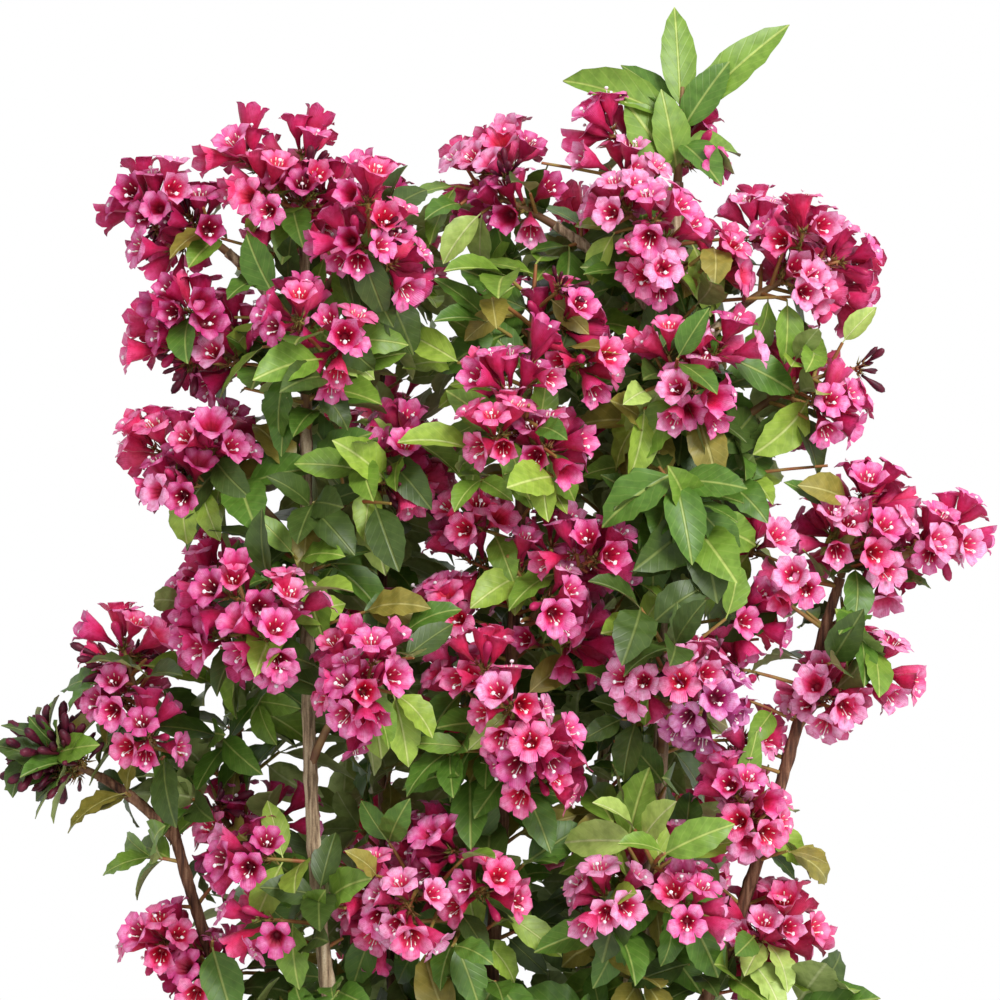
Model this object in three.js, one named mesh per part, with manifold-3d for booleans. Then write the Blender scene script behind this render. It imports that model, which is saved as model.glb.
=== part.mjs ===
// A weigela in full flower: one free-standing shrub, a clump of woody stems from a single root crown.
// Every stem, bough and mass of leaves and blossom is its own closed solid, 0.3 mm clear of the next.
// Units are millimetres and +Z is up. The origin is the middle of the flat cut under the root crown,
// the shrub's front faces -Y, and +X is to the right of someone who looks at that front.

import * as THREE from 'three';
import { mergeVertices } from 'three/addons/utils/BufferGeometryUtils.js';
import Module from 'manifold-3d';

const manifold = await Module();
manifold.setup();

const UP = new THREE.Vector3(0, 0, 1);

// ---------------------------------------------------------------- driving dimensions

const GAP = 0.3; // between a limb and what it carries
const WELD = 1e-3; // vertices closer than this are one vertex

const ROOT_CROWN = {
  groundRadius: 58,
  shoulderRadius: 38,
  height: 40,
  topRadius: 15,
  segments: 24,
  lobes: 6,
  flute: 0.13, // how far the root flare swells and pinches, as a share of its radius
  footCircle: 24, // the radius of the circle on which the stems' feet stand
  footDepth: 12, // the height at which a stem's axis starts, inside the crown
};

const BOW_HEIGHT = 320; // each stem's bow is given as the place of its axis at this height
const STEM = { sides: 7, steps: 6 };
const BOUGH = { sides: 5, steps: 3, radius: 4.0, tipRadius: 3.4 };
const SHOOT = { sides: 3, steps: 3, radius: 3.3, tipRadius: 2.4 }; // the one stem inside a mass
const BARE_WOOD = 16; // with more bare wood than this between a stem and a mass, a bough carries it
const RISE = 0.55; // a side shoot leaves its stem this share of its mass's reach below the mass
const ARCH = { along: 0.42, up: 0.8 }; // it has risen this far by that share of its way out
const PAST_MIDDLE = 0.25; // a shoot ends this share of its mass's size past the mass's middle
const TOP_RISE = 0.5; // the middle of a stem's top mass is this share of its size above the tip
const LEAST_SEAT_HEIGHT = 70; // no side shoot leaves its stem lower than this

const TWIG = {
  radius: 2.4,
  neck: 2.0, // its radius under a flower
  collar: 5, // it is thickest this far out from the middle of its shoot
  sunk: 1.1, // its root reaches this far past the middle of its shoot
  angle: 56,
  spread: 10,
  least: 8,
  most: 46,
  bare: 30,
};
const PAIRS = 6; // of twigs or of leaves, along the shoot of one mass
const FIRST_TURN = 35; // the first pair's turn round the shoot
const FLOWER = { length: 42, mouth: 25, throat: 16, lobes: 5 };
const LEAF = {
  length: 82,
  width: 44,
  keel: 1.2, // below the middle of the blade
  fold: 3, // how far its sides are held up
  droop: 8, // how far its tip hangs down
  sunk: 1, // how far its root reaches past the middle of its twig
  widest: 0.42,
  hang: 0.45, // how much lower than its lean a leaf points
  lookUp: 0.5, // how much it looks up, against 1 outwards
};
const LEAF_ANGLE = 62; // between a twig and its leaves, under a flower
const SHOOT_LEAF_ANGLE = 40; // the same on a twig that carries leaves alone
const BUD = { length: 26, radius: 4.6, sides: 5, lean: 24 };
const FLOWER_SIZES = [1, 0.86, 0.74, 0.62]; // a flower that doesn't fit is tried again smaller
const LEAF_SIZES = [1, 0.85, 0.7, 0.56]; // and so is a leaf
const REACHES = [0.97, 0.88, 0.79, 0.7]; // a flowering twig takes up this share of the room, if it can
const SWERVES = [0, 32, -32]; // and a twig or leaf gives way by these angles where it finds no room

const SIDES = {
  right: 0,
  back_right: 45,
  back: 90,
  back_left: 135,
  left: 180,
  front_left: 225,
  front: 270,
  front_right: 315,
};

// Each stem has the azimuth of its foot on the root crown, its radius there and at its tip, its bow
// [x, y] at BOW_HEIGHT and its tip [x, y, z]. `top` is the mass that its tip carries. Each tier has a
// height and, for each side with a mass there, the mass's [reach, size, kind]. The reach is how far
// its space goes out from the stem, its size is the radius of that space, and its kind is blossom
// unless it says otherwise.
const STEMS = {
  left: {
    foot: 230,
    radii: [6.0, 3.5],
    bow: [-90, -62],
    tip: [-108, -30, 835],
    top: [60],
    tiers: {
      shoulder: { height: 852, left: [147, 53] },
      high: { height: 832, front_right: [124, 64] },
      upper: { height: 766, left: [133, 60], front: [118, 78] },
      middle: { height: 682, left: [136, 60], right: [127, 66] },
      lower: { height: 584, front_left: [116, 68] },
      low: { height: 540, front_right: [132, 72] },
    },
  },
  mid_left: {
    foot: 160,
    radii: [5.8, 3.3],
    bow: [-134, 22],
    tip: [-165, 24, 552],
    top: [58],
    tiers: {
      low: { height: 440, front_left: [88, 61] },
    },
  },
  far_left: {
    foot: 195,
    radii: [6.0, 3.3],
    bow: [-168, -14],
    tip: [-219, -22, 498],
    top: [57],
    tiers: {
      spray: { height: 474, left: [110, 38, 'bud'] },
      skirt: { height: 346, left: [72, 56] },
    },
  },
  centre: {
    foot: 268,
    radii: [6.6, 3.5],
    bow: [22, -10],
    tip: [48, -25, 738],
    top: [76],
    tiers: {
      upper: { height: 708, front: [125, 74] },
      middle: { height: 608, front_right: [126, 76] },
      lower: { height: 505, front: [131, 83] },
      low: { height: 388, front_left: [154, 87] },
      skirt: { height: 246, front: [138, 112, 'leaf'] },
    },
  },
  right: {
    foot: 315,
    radii: [7.4, 3.8],
    bow: [122, -14],
    tip: [152, -6, 872],
    top: [89, 'leaf'],
    tiers: {
      arm: { height: 868, left: [190, 56] },
      high: { height: 850, front_left: [112, 78] },
      shoulder: { height: 815, right: [150, 56] },
      upper: { height: 740, front: [123, 71], right: [161, 58] },
      middle: { height: 662, front: [115, 71, 'leaf'] },
      lower: { height: 548, front: [142, 87] },
      low: { height: 404, front: [116, 78] },
    },
  },
  far_right: {
    foot: 0,
    radii: [6.4, 3.5],
    bow: [178, -22],
    tip: [264, -24, 596],
    top: [68],
    tiers: {
      outlier: { height: 630, right: [110, 40] },
      middle: { height: 532, right: [76, 48] },
      lower: { height: 446, front_left: [84, 57] },
      low: { height: 352, right: [78, 60] },
      skirt: { height: 304, right: [132, 47, 'leaf'] },
    },
  },
  back_left: {
    foot: 120,
    radii: [6.4, 3.5],
    bow: [-50, 80],
    tip: [-60, 90, 766],
    top: [89],
    tiers: {
      upper: { height: 692, back: [122, 95] },
      middle: { height: 560, left: [112, 98] },
      low: { height: 400, back: [124, 104] },
    },
  },
  back_right: {
    foot: 60,
    radii: [6.4, 3.5],
    bow: [90, 80],
    tip: [114, 94, 770],
    top: [89],
    tiers: {
      upper: { height: 688, back_right: [134, 95] },
      middle: { height: 552, back_left: [134, 98] },
      low: { height: 400, back_right: [146, 104] },
      skirt: { height: 228, left: [146, 118, 'leaf'] },
    },
  },
};

const BARK_ROUGHNESS = 0.85;
const LEAF_ROUGHNESS = 0.6;
const COLOURS = {
  bark: 0xb8a486,
  root: 0x8d7658,
  blossom: 0xd6478c,
  leaf: 0x4c7a2c,
  bud: 0x5e1230,
};

// ---------------------------------------------------------------- small helpers

// The same run of numbers between 0 and 1 for the same seed, each time.
function seeded(seed) {
  let state = seed * 7919 + 17;
  return () => {
    state = (state * 16807) % 2147483647;
    return state / 2147483647;
  };
}

const radians = THREE.MathUtils.degToRad;

function sideways(side) {
  const azimuth = radians(SIDES[side]);
  return new THREE.Vector3(Math.cos(azimuth), Math.sin(azimuth), 0);
}

// A direction at `angle` degrees to `axis`, turned `turn` degrees round it.
function leaning(axis, angle, turn) {
  const flat = Math.abs(axis.z) > 0.95 ? new THREE.Vector3(1, 0, 0) : UP;
  const across = new THREE.Vector3().crossVectors(axis, flat).normalize();
  const over = new THREE.Vector3().crossVectors(axis, across);
  return axis
    .clone()
    .multiplyScalar(Math.cos(radians(angle)))
    .addScaledVector(across, Math.sin(radians(angle)) * Math.cos(radians(turn)))
    .addScaledVector(over, Math.sin(radians(angle)) * Math.sin(radians(turn)));
}

// Lays a geometry that was made along +Z, with its foot at 0, along `direction` from `place`, with
// its +Y side turned as far towards `facing` as it goes.
function laid(geometry, place, direction, facing) {
  const across = new THREE.Vector3().crossVectors(facing, direction);
  if (across.lengthSq() < 1e-6) across.set(1, 0, 0);
  across.normalize();
  const face = new THREE.Vector3().crossVectors(direction, across);
  const stance = new THREE.Matrix4().makeBasis(across, face, direction).setPosition(place);
  return geometry.clone().applyMatrix4(stance);
}

// Only positions, shared vertices merged, and no triangle that has shrunk to a line. A primitive is
// welded before it is bent or moved, while its doubled vertices still match exactly.
function welded(geometry) {
  const bare = new THREE.BufferGeometry();
  bare.setAttribute('position', geometry.getAttribute('position').clone());
  bare.setIndex(geometry.index);
  const merged = mergeVertices(bare, WELD);
  const kept = [];
  for (let i = 0; i < merged.index.count; i += 3) {
    const [a, b, c] = [0, 1, 2].map((k) => merged.index.getX(i + k));
    if (a !== b && b !== c && c !== a) kept.push(a, b, c);
  }
  return merged.setIndex(kept);
}

function solid(geometry) {
  const vertProperties = geometry.getAttribute('position').array;
  const triVerts = new Uint32Array(geometry.index.array);
  return new manifold.Manifold(new manifold.Mesh({ numProp: 3, vertProperties, triVerts }));
}

function geometryOf(made) {
  const { vertProperties, triVerts } = made.getMesh();
  const geometry = new THREE.BufferGeometry();
  geometry.setAttribute('position', new THREE.BufferAttribute(vertProperties, 3));
  return geometry.setIndex(new THREE.BufferAttribute(triVerts, 1));
}

function joined(solids) {
  return solids.slice(1).reduce((whole, next) => whole.add(next), solids[0]);
}

// Whether a solid is still closed, each edge shared by two triangles, once its vertices are welded.
// A cut that leaves a sliver thinner than the weld opens a seam there.
function staysClosed(made) {
  const { index } = welded(geometryOf(made));
  const edges = new Map();
  for (let i = 0; i < index.count; i++) {
    const [a, b] = [index.getX(i), index.getX(i % 3 === 2 ? i - 2 : i + 1)];
    const key = a < b ? `${a} ${b}` : `${b} ${a}`;
    edges.set(key, (edges.get(key) ?? 0) + 1);
  }
  return [...edges.values()].every((count) => count === 2);
}

// The largest body of a solid: a loose scrap or the skin of a sealed hollow is dropped.
function largestBody(made) {
  return made.decompose().reduce((best, body) => (body.volume() > best.volume() ? body : best));
}

// ---------------------------------------------------------------- limbs

// A limb follows `curve` from its share `from` to its share `to`, and tapers between two radii.
function limb(curve, radii, form, from = 0, to = 1) {
  return { curve, radii, form, from, to };
}

function limbRadius(l, share) {
  return THREE.MathUtils.lerp(l.radii[0], l.radii[1], share);
}

// A tapered cylinder, bent along the limb's curve. `swell` makes it that much thicker all round.
function limbSolid(l, swell = 0) {
  const { sides, steps } = l.form;
  const geometry = welded(new THREE.CylinderGeometry(1, 1, 1, sides, steps));
  geometry.rotateX(Math.PI / 2);
  const position = geometry.getAttribute('position');
  const at = new THREE.Vector3();
  for (let i = 0; i < position.count; i++) {
    at.fromBufferAttribute(position, i);
    const share = THREE.MathUtils.clamp(at.z + 0.5, 0, 1);
    const place = l.curve.getPointAt(l.from + (l.to - l.from) * share);
    const along = l.curve.getTangentAt(l.from + (l.to - l.from) * share);
    const across = new THREE.Vector3(0, 1, 0).cross(along).normalize();
    const over = new THREE.Vector3().crossVectors(along, across);
    const radius = limbRadius(l, share) + swell;
    place.addScaledVector(across, at.x * radius).addScaledVector(over, at.y * radius);
    place.addScaledVector(along, (share === 0 ? -1 : share === 1 ? 1 : 0) * swell);
    position.setXYZ(i, place.x, place.y, place.z);
  }
  return solid(geometry);
}

// The root crown: a low stool that flares into lobes where it meets the ground.
function rootCrownSolid(swell = 0) {
  const r = ROOT_CROWN;
  const profile = [
    [0, 0],
    [r.groundRadius, 0],
    [r.shoulderRadius, r.height * 0.42],
    [r.shoulderRadius * 0.74, r.height * 0.8],
    [r.topRadius, r.height],
    [0, r.height],
  ].map(([x, y]) => new THREE.Vector2(x > 0 ? x + swell : 0, y > 0 ? y + swell : y));
  const geometry = welded(new THREE.LatheGeometry(profile, r.segments));
  geometry.rotateX(Math.PI / 2);
  const position = geometry.getAttribute('position');
  for (let i = 0; i < position.count; i++) {
    const [x, y, z] = [position.getX(i), position.getY(i), position.getZ(i)];
    const fade = 1 - z / (r.height + swell);
    const lobed = 1 + r.flute * fade * Math.cos(r.lobes * Math.atan2(y, x));
    position.setXYZ(i, x * lobed, y * lobed, z);
  }
  return solid(geometry);
}

function stemCurve(stem) {
  const foot = radians(stem.foot);
  return new THREE.CatmullRomCurve3([
    new THREE.Vector3(
      ROOT_CROWN.footCircle * Math.cos(foot),
      ROOT_CROWN.footCircle * Math.sin(foot),
      ROOT_CROWN.footDepth,
    ),
    new THREE.Vector3(...stem.bow, BOW_HEIGHT),
    new THREE.Vector3(...stem.tip),
  ]);
}

// The share of a stem's length at which its axis reaches `height`.
function shareAtHeight(curve, height) {
  let [low, high] = [0, 1];
  for (let i = 0; i < 30; i++) {
    const middle = (low + high) / 2;
    if (curve.getPointAt(middle).z < height) low = middle;
    else high = middle;
  }
  return low;
}

// ---------------------------------------------------------------- where the masses are

// The mass at a stem's tip grows straight on from it.
function topMass(name, stem, curve, index) {
  const [size, kind = 'blossom'] = stem.top;
  const tip = curve.getPointAt(1);
  const along = curve.getTangentAt(1);
  const start = tip.clone().addScaledVector(along, GAP);
  const centre = tip.clone().addScaledVector(along, size * TOP_RISE);
  const end = centre.clone().addScaledVector(along, size * PAST_MIDDLE);
  const path = new THREE.QuadraticBezierCurve3(start, start.clone().lerp(end, 0.5), end);
  return { name: `${name}_top`, size, kind, centre, path, from: 0, seed: index };
}

// A side mass grows from a shoot that leaves its stem steeply and arches outwards.
function sideMass(name, curve, height, side, [reach, size, kind = 'blossom'], index) {
  const out = sideways(side);
  const axis = curve.getPointAt(shareAtHeight(curve, height));
  const centre = axis.clone().addScaledVector(out, reach - size).setZ(height);
  const seatHeight = Math.max(LEAST_SEAT_HEIGHT, Math.min(height, axis.z) - reach * RISE);
  const start = curve.getPointAt(shareAtHeight(curve, seatHeight));
  const end = centre.clone().addScaledVector(out, size * PAST_MIDDLE);
  const knee = start.clone().lerp(end, ARCH.along);
  knee.z = THREE.MathUtils.lerp(start.z, end.z, ARCH.up);
  const path = new THREE.QuadraticBezierCurve3(start, knee, end);
  return { name, size, kind, centre, path, from: 0, seed: index, bare: reach - 2 * size };
}

// The share of a path at which it comes within `distance` of the mass's centre.
function shareAtEntry(mass, distance) {
  const steps = 200;
  for (let i = 0; i <= steps; i++) {
    if (mass.path.getPointAt(i / steps).distanceTo(mass.centre) < distance) return i / steps;
  }
  return 1;
}

// ---------------------------------------------------------------- the space of a mass

// Masses share the crown out: a point belongs to the mass whose sphere it lies deepest in. The
// borders between two masses are then flat, so each space is convex.
function depthIn(mass, point) {
  return point.distanceToSquared(mass.centre) - mass.size * mass.size;
}

function inSpace(mass, neighbours, point) {
  const own = depthIn(mass, point);
  if (own > 0) return false;
  return neighbours.every((other) => {
    const apart = 2 * mass.centre.distanceTo(other.centre);
    return (depthIn(other, point) - own) / apart > GAP;
  });
}

// How far it is from a point inside the space to its border, along a direction.
function roomAlong(mass, neighbours, point, direction) {
  const inward = mass.centre.clone().sub(point);
  const middle = inward.dot(direction);
  let room = middle + Math.sqrt(Math.max(0, middle * middle - depthIn(mass, point)));
  for (const other of neighbours) {
    const closing = 2 * direction.dot(other.centre.clone().sub(mass.centre));
    const left = depthIn(other, point) - depthIn(mass, point);
    if (closing > 0) room = Math.min(room, left / closing);
  }
  return Math.max(0, room);
}

// ---------------------------------------------------------------- what grows in a mass

// A bare three-sided twig, pointed at both ends, its root sunk in the shoot that carries it.
function twigGeometry(length) {
  const profile = [
    new THREE.Vector2(0, -TWIG.sunk),
    new THREE.Vector2(TWIG.radius, TWIG.collar),
    new THREE.Vector2(0, length),
  ];
  return welded(new THREE.LatheGeometry(profile, 3)).rotateX(Math.PI / 2);
}

// A twig of a given length that widens at its end into a trumpet with five sides and a hollow throat.
function floweringTwigGeometry(length, scale) {
  const profile = [
    new THREE.Vector2(0, -TWIG.sunk),
    new THREE.Vector2(TWIG.radius, TWIG.collar),
    new THREE.Vector2(TWIG.neck, length),
    new THREE.Vector2(FLOWER.mouth * scale, length + FLOWER.length * scale),
    new THREE.Vector2(0, length + (FLOWER.length - FLOWER.throat) * scale),
  ];
  return welded(new THREE.LatheGeometry(profile, FLOWER.lobes)).rotateX(Math.PI / 2);
}

// A leaf blade of six faces along +Z: pointed at both ends, with a keel under its middle, its sides
// held up a little and its tip drooping.
function leafGeometry(scale) {
  const { length, width, sunk, keel, fold, droop, widest } = LEAF;
  const profile = [new THREE.Vector2(0, 0), new THREE.Vector2(1, 0.5), new THREE.Vector2(0, 1)];
  const geometry = welded(new THREE.LatheGeometry(profile, 3));
  geometry.rotateX(Math.PI / 2);
  const position = geometry.getAttribute('position');
  for (let i = 0; i < position.count; i++) {
    const [x, y, z] = [position.getX(i), position.getY(i), position.getZ(i)];
    const side = Math.hypot(x, y) < 0.5 ? 0 : Math.sign(Math.round(x));
    const isKeel = Math.hypot(x, y) > 0.5 && side === 0;
    const share = z > 0.75 ? 1 : z < 0.25 ? 0 : widest;
    const lift = (side === 0 ? 0 : fold) - (isKeel ? keel : 0) - (share === 1 ? droop : 0);
    position.setXYZ(i, (side * width) / 2, lift, share * (length + sunk) - sunk);
  }
  return geometry.scale(scale, 1, scale);
}

function budGeometry() {
  const { length, radius, sides } = BUD;
  const profile = [
    new THREE.Vector2(0, 0),
    new THREE.Vector2(radius, length * 0.72),
    new THREE.Vector2(0, length),
  ];
  return welded(new THREE.LatheGeometry(profile, sides)).rotateX(Math.PI / 2);
}

function insideSpace(mass, neighbours, geometry) {
  const position = geometry.getAttribute('position');
  const at = new THREE.Vector3();
  for (let i = 0; i < position.count; i++) {
    if (!inSpace(mass, neighbours, at.fromBufferAttribute(position, i))) return false;
  }
  return true;
}

// Grows one mass. A twig, leaf or flower that would leave the space, touch a limb or cross what has
// grown in the mass already is skipped, or tried again smaller.
function growMass(mass, neighbours, inTheWay, host) {
  const random = seeded(mass.seed);
  const spread = () => (random() * 2 - 1) * TWIG.spread;
  const shoot = limb(mass.path, [SHOOT.radius, SHOOT.tipRadius], SHOOT, mass.from, 1);
  const grown = [host ? limbSolid(shoot).subtract(host) : limbSolid(shoot)];
  let whole = grown[0];

  // Adds a piece that fits and says where it is in the list, or -1. It may touch only its carrier.
  function add(geometry, carrier) {
    if (!insideSpace(mass, neighbours, geometry)) return -1;
    const made = solid(geometry);
    if (!made.intersect(inTheWay).isEmpty()) return -1;
    if (grown.some((other, i) => i !== carrier && !made.intersect(other).isEmpty())) return -1;
    const larger = whole.add(made);
    if (!staysClosed(larger)) return -1;
    whole = larger;
    return grown.push(made) - 1;
  }

  // A leaf droops, and turns its face to the light, outwards and up. A shoot's last one stands up.
  function addLeaf(root, lean, carrier, hang = LEAF.hang) {
    const direction = lean.clone().addScaledVector(UP, -hang).normalize();
    const light = new THREE.Vector3(root.x, root.y, 0).normalize().addScaledVector(UP, LEAF.lookUp);
    return LEAF_SIZES.some((scale) => {
      return add(laid(leafGeometry(scale), root, direction, light), carrier) >= 0;
    });
  }

  // A twig with its flower, as large and as long as the space lets it be, or none.
  function addFloweringTwig(root, direction) {
    const room = roomAlong(mass, neighbours, root, direction);
    for (const scale of FLOWER_SIZES) {
      for (const share of REACHES) {
        const length = Math.min(TWIG.most, room * share - FLOWER.length * scale);
        if (length < TWIG.least) break;
        const index = add(laid(floweringTwigGeometry(length, scale), root, direction, UP), 0);
        if (index >= 0) return { index, length };
      }
    }
    return null;
  }

  function addBareTwig(root, direction) {
    const length = Math.min(TWIG.bare, roomAlong(mass, neighbours, root, direction) * 0.5);
    if (length < TWIG.least) return null;
    const index = add(laid(twigGeometry(length * 1.3), root, direction, UP), 0);
    return index >= 0 ? { index, length } : null;
  }

  function addBuds(root, direction, carrier) {
    for (const turn of [0, 120, 240]) {
      add(laid(budGeometry(), root, leaning(direction, BUD.lean, turn), UP), carrier);
    }
  }

  // A twig and what it carries. It gives way a little to either side where it finds no room.
  function addTwig(root, axis, angle, turn) {
    const makers = mass.kind === 'blossom' ? [addFloweringTwig, addBareTwig] : [addBareTwig];
    for (const make of makers) {
      for (const swerve of SWERVES) {
        const direction = leaning(axis, angle, turn + swerve);
        const twig = make(root, direction);
        if (!twig) continue;
        const neck = root.clone().addScaledVector(direction, twig.length * 0.8);
        if (mass.kind === 'bud') addBuds(neck, direction, twig.index);
        if (make === addBareTwig) addLeaf(neck, direction, twig.index);
        const leafAngle = make === addBareTwig ? SHOOT_LEAF_ANGLE : LEAF_ANGLE;
        for (const half of [90, 270]) {
          addLeaf(neck, leaning(direction, leafAngle, turn + half), twig.index);
        }
        return;
      }
    }
  }

  // Opposite pairs, each turned a quarter from the last: twigs at every other pair, leaves between.
  const entry = Math.max(shareAtEntry(mass, mass.size * 0.8), mass.from + 0.02);
  for (let pair = 0; pair < PAIRS; pair++) {
    const share = THREE.MathUtils.lerp(entry, 0.96, (pair + 0.5) / PAIRS);
    const root = mass.path.getPointAt(share);
    const axis = mass.path.getTangentAt(share);
    for (const half of [0, 180]) {
      const turn = FIRST_TURN + 90 * pair + half + spread();
      if (pair % 2 === 1) addTwig(root, axis, TWIG.angle + spread(), turn);
      else SWERVES.some((swerve) => addLeaf(root, leaning(axis, LEAF_ANGLE, turn + swerve), 0));
    }
  }
  const tip = mass.path.getPointAt(0.97);
  if (mass.kind === 'leaf') addLeaf(tip, mass.path.getTangentAt(1), 0, 0);
  else addTwig(tip, mass.path.getTangentAt(1), 0, 0);
  return largestBody(whole);
}

// ---------------------------------------------------------------- the whole shrub

const shrub = new THREE.Group();
shrub.name = 'weigela';

function addPart(name, made, colour, roughness) {
  const material = new THREE.MeshStandardMaterial({ color: colour, roughness, metalness: 0 });
  const mesh = new THREE.Mesh(geometryOf(made), material);
  mesh.name = name;
  shrub.add(mesh);
}

addPart('root_crown', rootCrownSolid(), COLOURS.root, BARK_ROUGHNESS);
const crownSeat = rootCrownSolid(GAP);

const limbs = []; // every limb, to keep leaves and blossom clear of it
const masses = [];
const hosts = new Map(); // a mass to the limb that its shoot is cut clear of

for (const [stemName, stem] of Object.entries(STEMS)) {
  const curve = stemCurve(stem);
  const trunk = limb(curve, stem.radii, STEM);
  limbs.push(trunk);
  addPart(`stem_${stemName}`, limbSolid(trunk).subtract(crownSeat), COLOURS.bark, BARK_ROUGHNESS);
  masses.push(topMass(stemName, stem, curve, masses.length + 1));
  for (const [tierName, tier] of Object.entries(stem.tiers)) {
    const sides = Object.keys(tier).filter((key) => key in SIDES);
    for (const side of sides) {
      const name = sides.length > 1 ? `${stemName}_${tierName}_${side}` : `${stemName}_${tierName}`;
      const mass = sideMass(name, curve, tier.height, side, tier[side], masses.length + 1);
      masses.push(mass);
      hosts.set(mass, trunk);
    }
  }
}

// A bough carries each mass that hangs well clear of its stem, up to where it enters the mass.
for (const mass of masses.filter((m) => m.bare > BARE_WOOD)) {
  const entry = shareAtEntry(mass, mass.size);
  const bough = limb(mass.path, [BOUGH.radius, BOUGH.tipRadius], BOUGH, 0, entry);
  const seat = limbSolid(hosts.get(mass), GAP);
  addPart(`bough_${mass.name}`, largestBody(limbSolid(bough).subtract(seat)), COLOURS.bark, BARK_ROUGHNESS);
  limbs.push(bough);
  hosts.delete(mass);
  mass.from = entry + GAP / mass.path.getLength();
}

const shoots = masses.map((m) => limb(m.path, [SHOOT.radius, SHOOT.tipRadius], SHOOT, m.from, 1));
const thickLimbs = limbs.map((l) => limbSolid(l, GAP));
const thickShoots = shoots.map((l) => limbSolid(l, GAP));

masses.forEach((mass, index) => {
  const neighbours = masses.filter((other) => other !== mass);
  const others = thickShoots.filter((_, other) => other !== index);
  const inTheWay = joined([...thickLimbs, ...others]);
  const host = hosts.get(mass);
  const grown = growMass(mass, neighbours, inTheWay, host && limbSolid(host, GAP));
  addPart(`foliage_${mass.name}`, grown, COLOURS[mass.kind], LEAF_ROUGHNESS);
});

export default shrub;
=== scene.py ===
# %% [markdown]
# # A weigela in full flower
#
# A weigela is a shrub that flowers on short side twigs all along its arching stems. Each twig ends in a
# bunch of rose-pink trumpets, with a pair of leaves under it. This lesson grows one: the wood, then the
# leaves and the flowers, by the same rule as the plain solid model that it is fitted to.
#
# The first cell loads that solid model as a fixed frame. Everything here is in metres and in the frame's
# own place, so a piece that is made where the frame says needs no fitting afterwards.

import math
from functools import partial
from types import SimpleNamespace

import bmesh
import bpy
import numpy as np
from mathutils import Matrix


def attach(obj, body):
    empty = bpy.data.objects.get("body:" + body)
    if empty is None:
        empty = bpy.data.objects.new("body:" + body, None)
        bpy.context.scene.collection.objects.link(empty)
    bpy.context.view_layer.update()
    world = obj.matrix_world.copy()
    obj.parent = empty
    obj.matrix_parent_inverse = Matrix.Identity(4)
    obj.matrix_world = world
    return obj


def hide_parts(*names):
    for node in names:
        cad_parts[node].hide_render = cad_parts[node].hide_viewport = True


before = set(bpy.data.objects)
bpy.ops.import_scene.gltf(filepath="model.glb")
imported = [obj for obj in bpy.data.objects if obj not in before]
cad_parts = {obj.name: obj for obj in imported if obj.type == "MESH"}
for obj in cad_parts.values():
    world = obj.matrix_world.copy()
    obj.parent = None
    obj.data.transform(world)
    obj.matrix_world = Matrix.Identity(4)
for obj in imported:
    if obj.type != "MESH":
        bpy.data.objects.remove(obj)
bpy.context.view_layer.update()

# %% [markdown]
# ## The camera and the light
#
# The shrub is seen from straight in front, from well back with a long lens, and its foot is below the
# picture's edge. The light is a white room: the world lights it evenly from all round, which is what
# makes the hollows among the leaves dark, and one large soft lamp at the upper right gives the petals
# their shape. Its walls look plain white, however little light they give. The floor is a pale disc, for
# the other views.

# %% Camera
MM = 0.001
CAMERA_PLACE = (0.028, -2.6, 0.65)
VIEW_WIDTH = 0.70  # metres across the picture, at the middle of the shrub
SENSOR_WIDTH = 36.0

camera_data = bpy.data.cameras.new("camera")
camera_data.sensor_width = SENSOR_WIDTH
camera_data.lens = SENSOR_WIDTH * -CAMERA_PLACE[1] / VIEW_WIDTH
camera = bpy.data.objects.new("camera", camera_data)
camera.location = CAMERA_PLACE
camera.rotation_euler = (math.pi / 2, 0, 0)
bpy.context.collection.objects.link(camera)
bpy.context.scene.camera = camera
bpy.context.scene.view_settings.view_transform = "Standard"
print("the lens is", round(camera_data.lens), "mm")


# %% Light and floor
def linear(hex_colour):
    """An sRGB hex colour as the linear red, green, blue and alpha that Blender computes with."""
    channels = [int(hex_colour[k : k + 2], 16) / 255 for k in (1, 3, 5)]
    return [c / 12.92 if c <= 0.04045 else ((c + 0.055) / 1.055) ** 2.4 for c in channels] + [1.0]


def feed(tree, value, socket):
    """Gives an input a value, or links it to an output, or to a node's first output."""
    if isinstance(value, bpy.types.Node):
        value = value.outputs[0]
    if isinstance(value, bpy.types.NodeSocket):
        tree.links.new(value, socket)
    else:
        socket.default_value = value


def add_node(tree, kind, inputs=(), **settings):
    """Adds a shader node. Its inputs are named, or are listed in the node's own order."""
    node = tree.nodes.new("ShaderNode" + kind)
    for name, value in settings.items():
        setattr(node, name, value)
    for key, value in inputs.items() if isinstance(inputs, dict) else enumerate(inputs):
        feed(tree, value, node.inputs[key])
    return node


def deselect_all():
    """An operator acts on all that is selected, so each step starts with nothing selected."""
    if bpy.context.mode != "OBJECT":
        bpy.ops.object.mode_set(mode="OBJECT")
    bpy.ops.object.select_all(action="DESELECT")


ROOM_LIGHT = 0.72  # what the walls give to the shrub
LAMP_POWER, LAMP_WIDTH = 76, 1.2
FLOOR_RADIUS = 1.4

world = bpy.data.worlds.new("white room")
world.use_nodes = True
room = world.node_tree
walls = room.nodes["Background"]
feed(room, linear("#FFFFFF"), walls.inputs["Color"])
feed(room, ROOM_LIGHT, walls.inputs["Strength"])
seen = add_node(room, "Background", {"Color": linear("#FFFFFF")})
sight = add_node(room, "LightPath").outputs["Is Camera Ray"]
either = add_node(room, "MixShader", [sight, walls, seen])
feed(room, either, room.nodes["World Output"].inputs["Surface"])
bpy.context.scene.world = world

deselect_all()
bpy.ops.object.light_add(type="AREA", location=(1.3, -2.2, 2.1), rotation=(0.95, 0, 0.55))
lamp = bpy.context.object
lamp.data.size = LAMP_WIDTH
lamp.data.energy = LAMP_POWER

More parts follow.
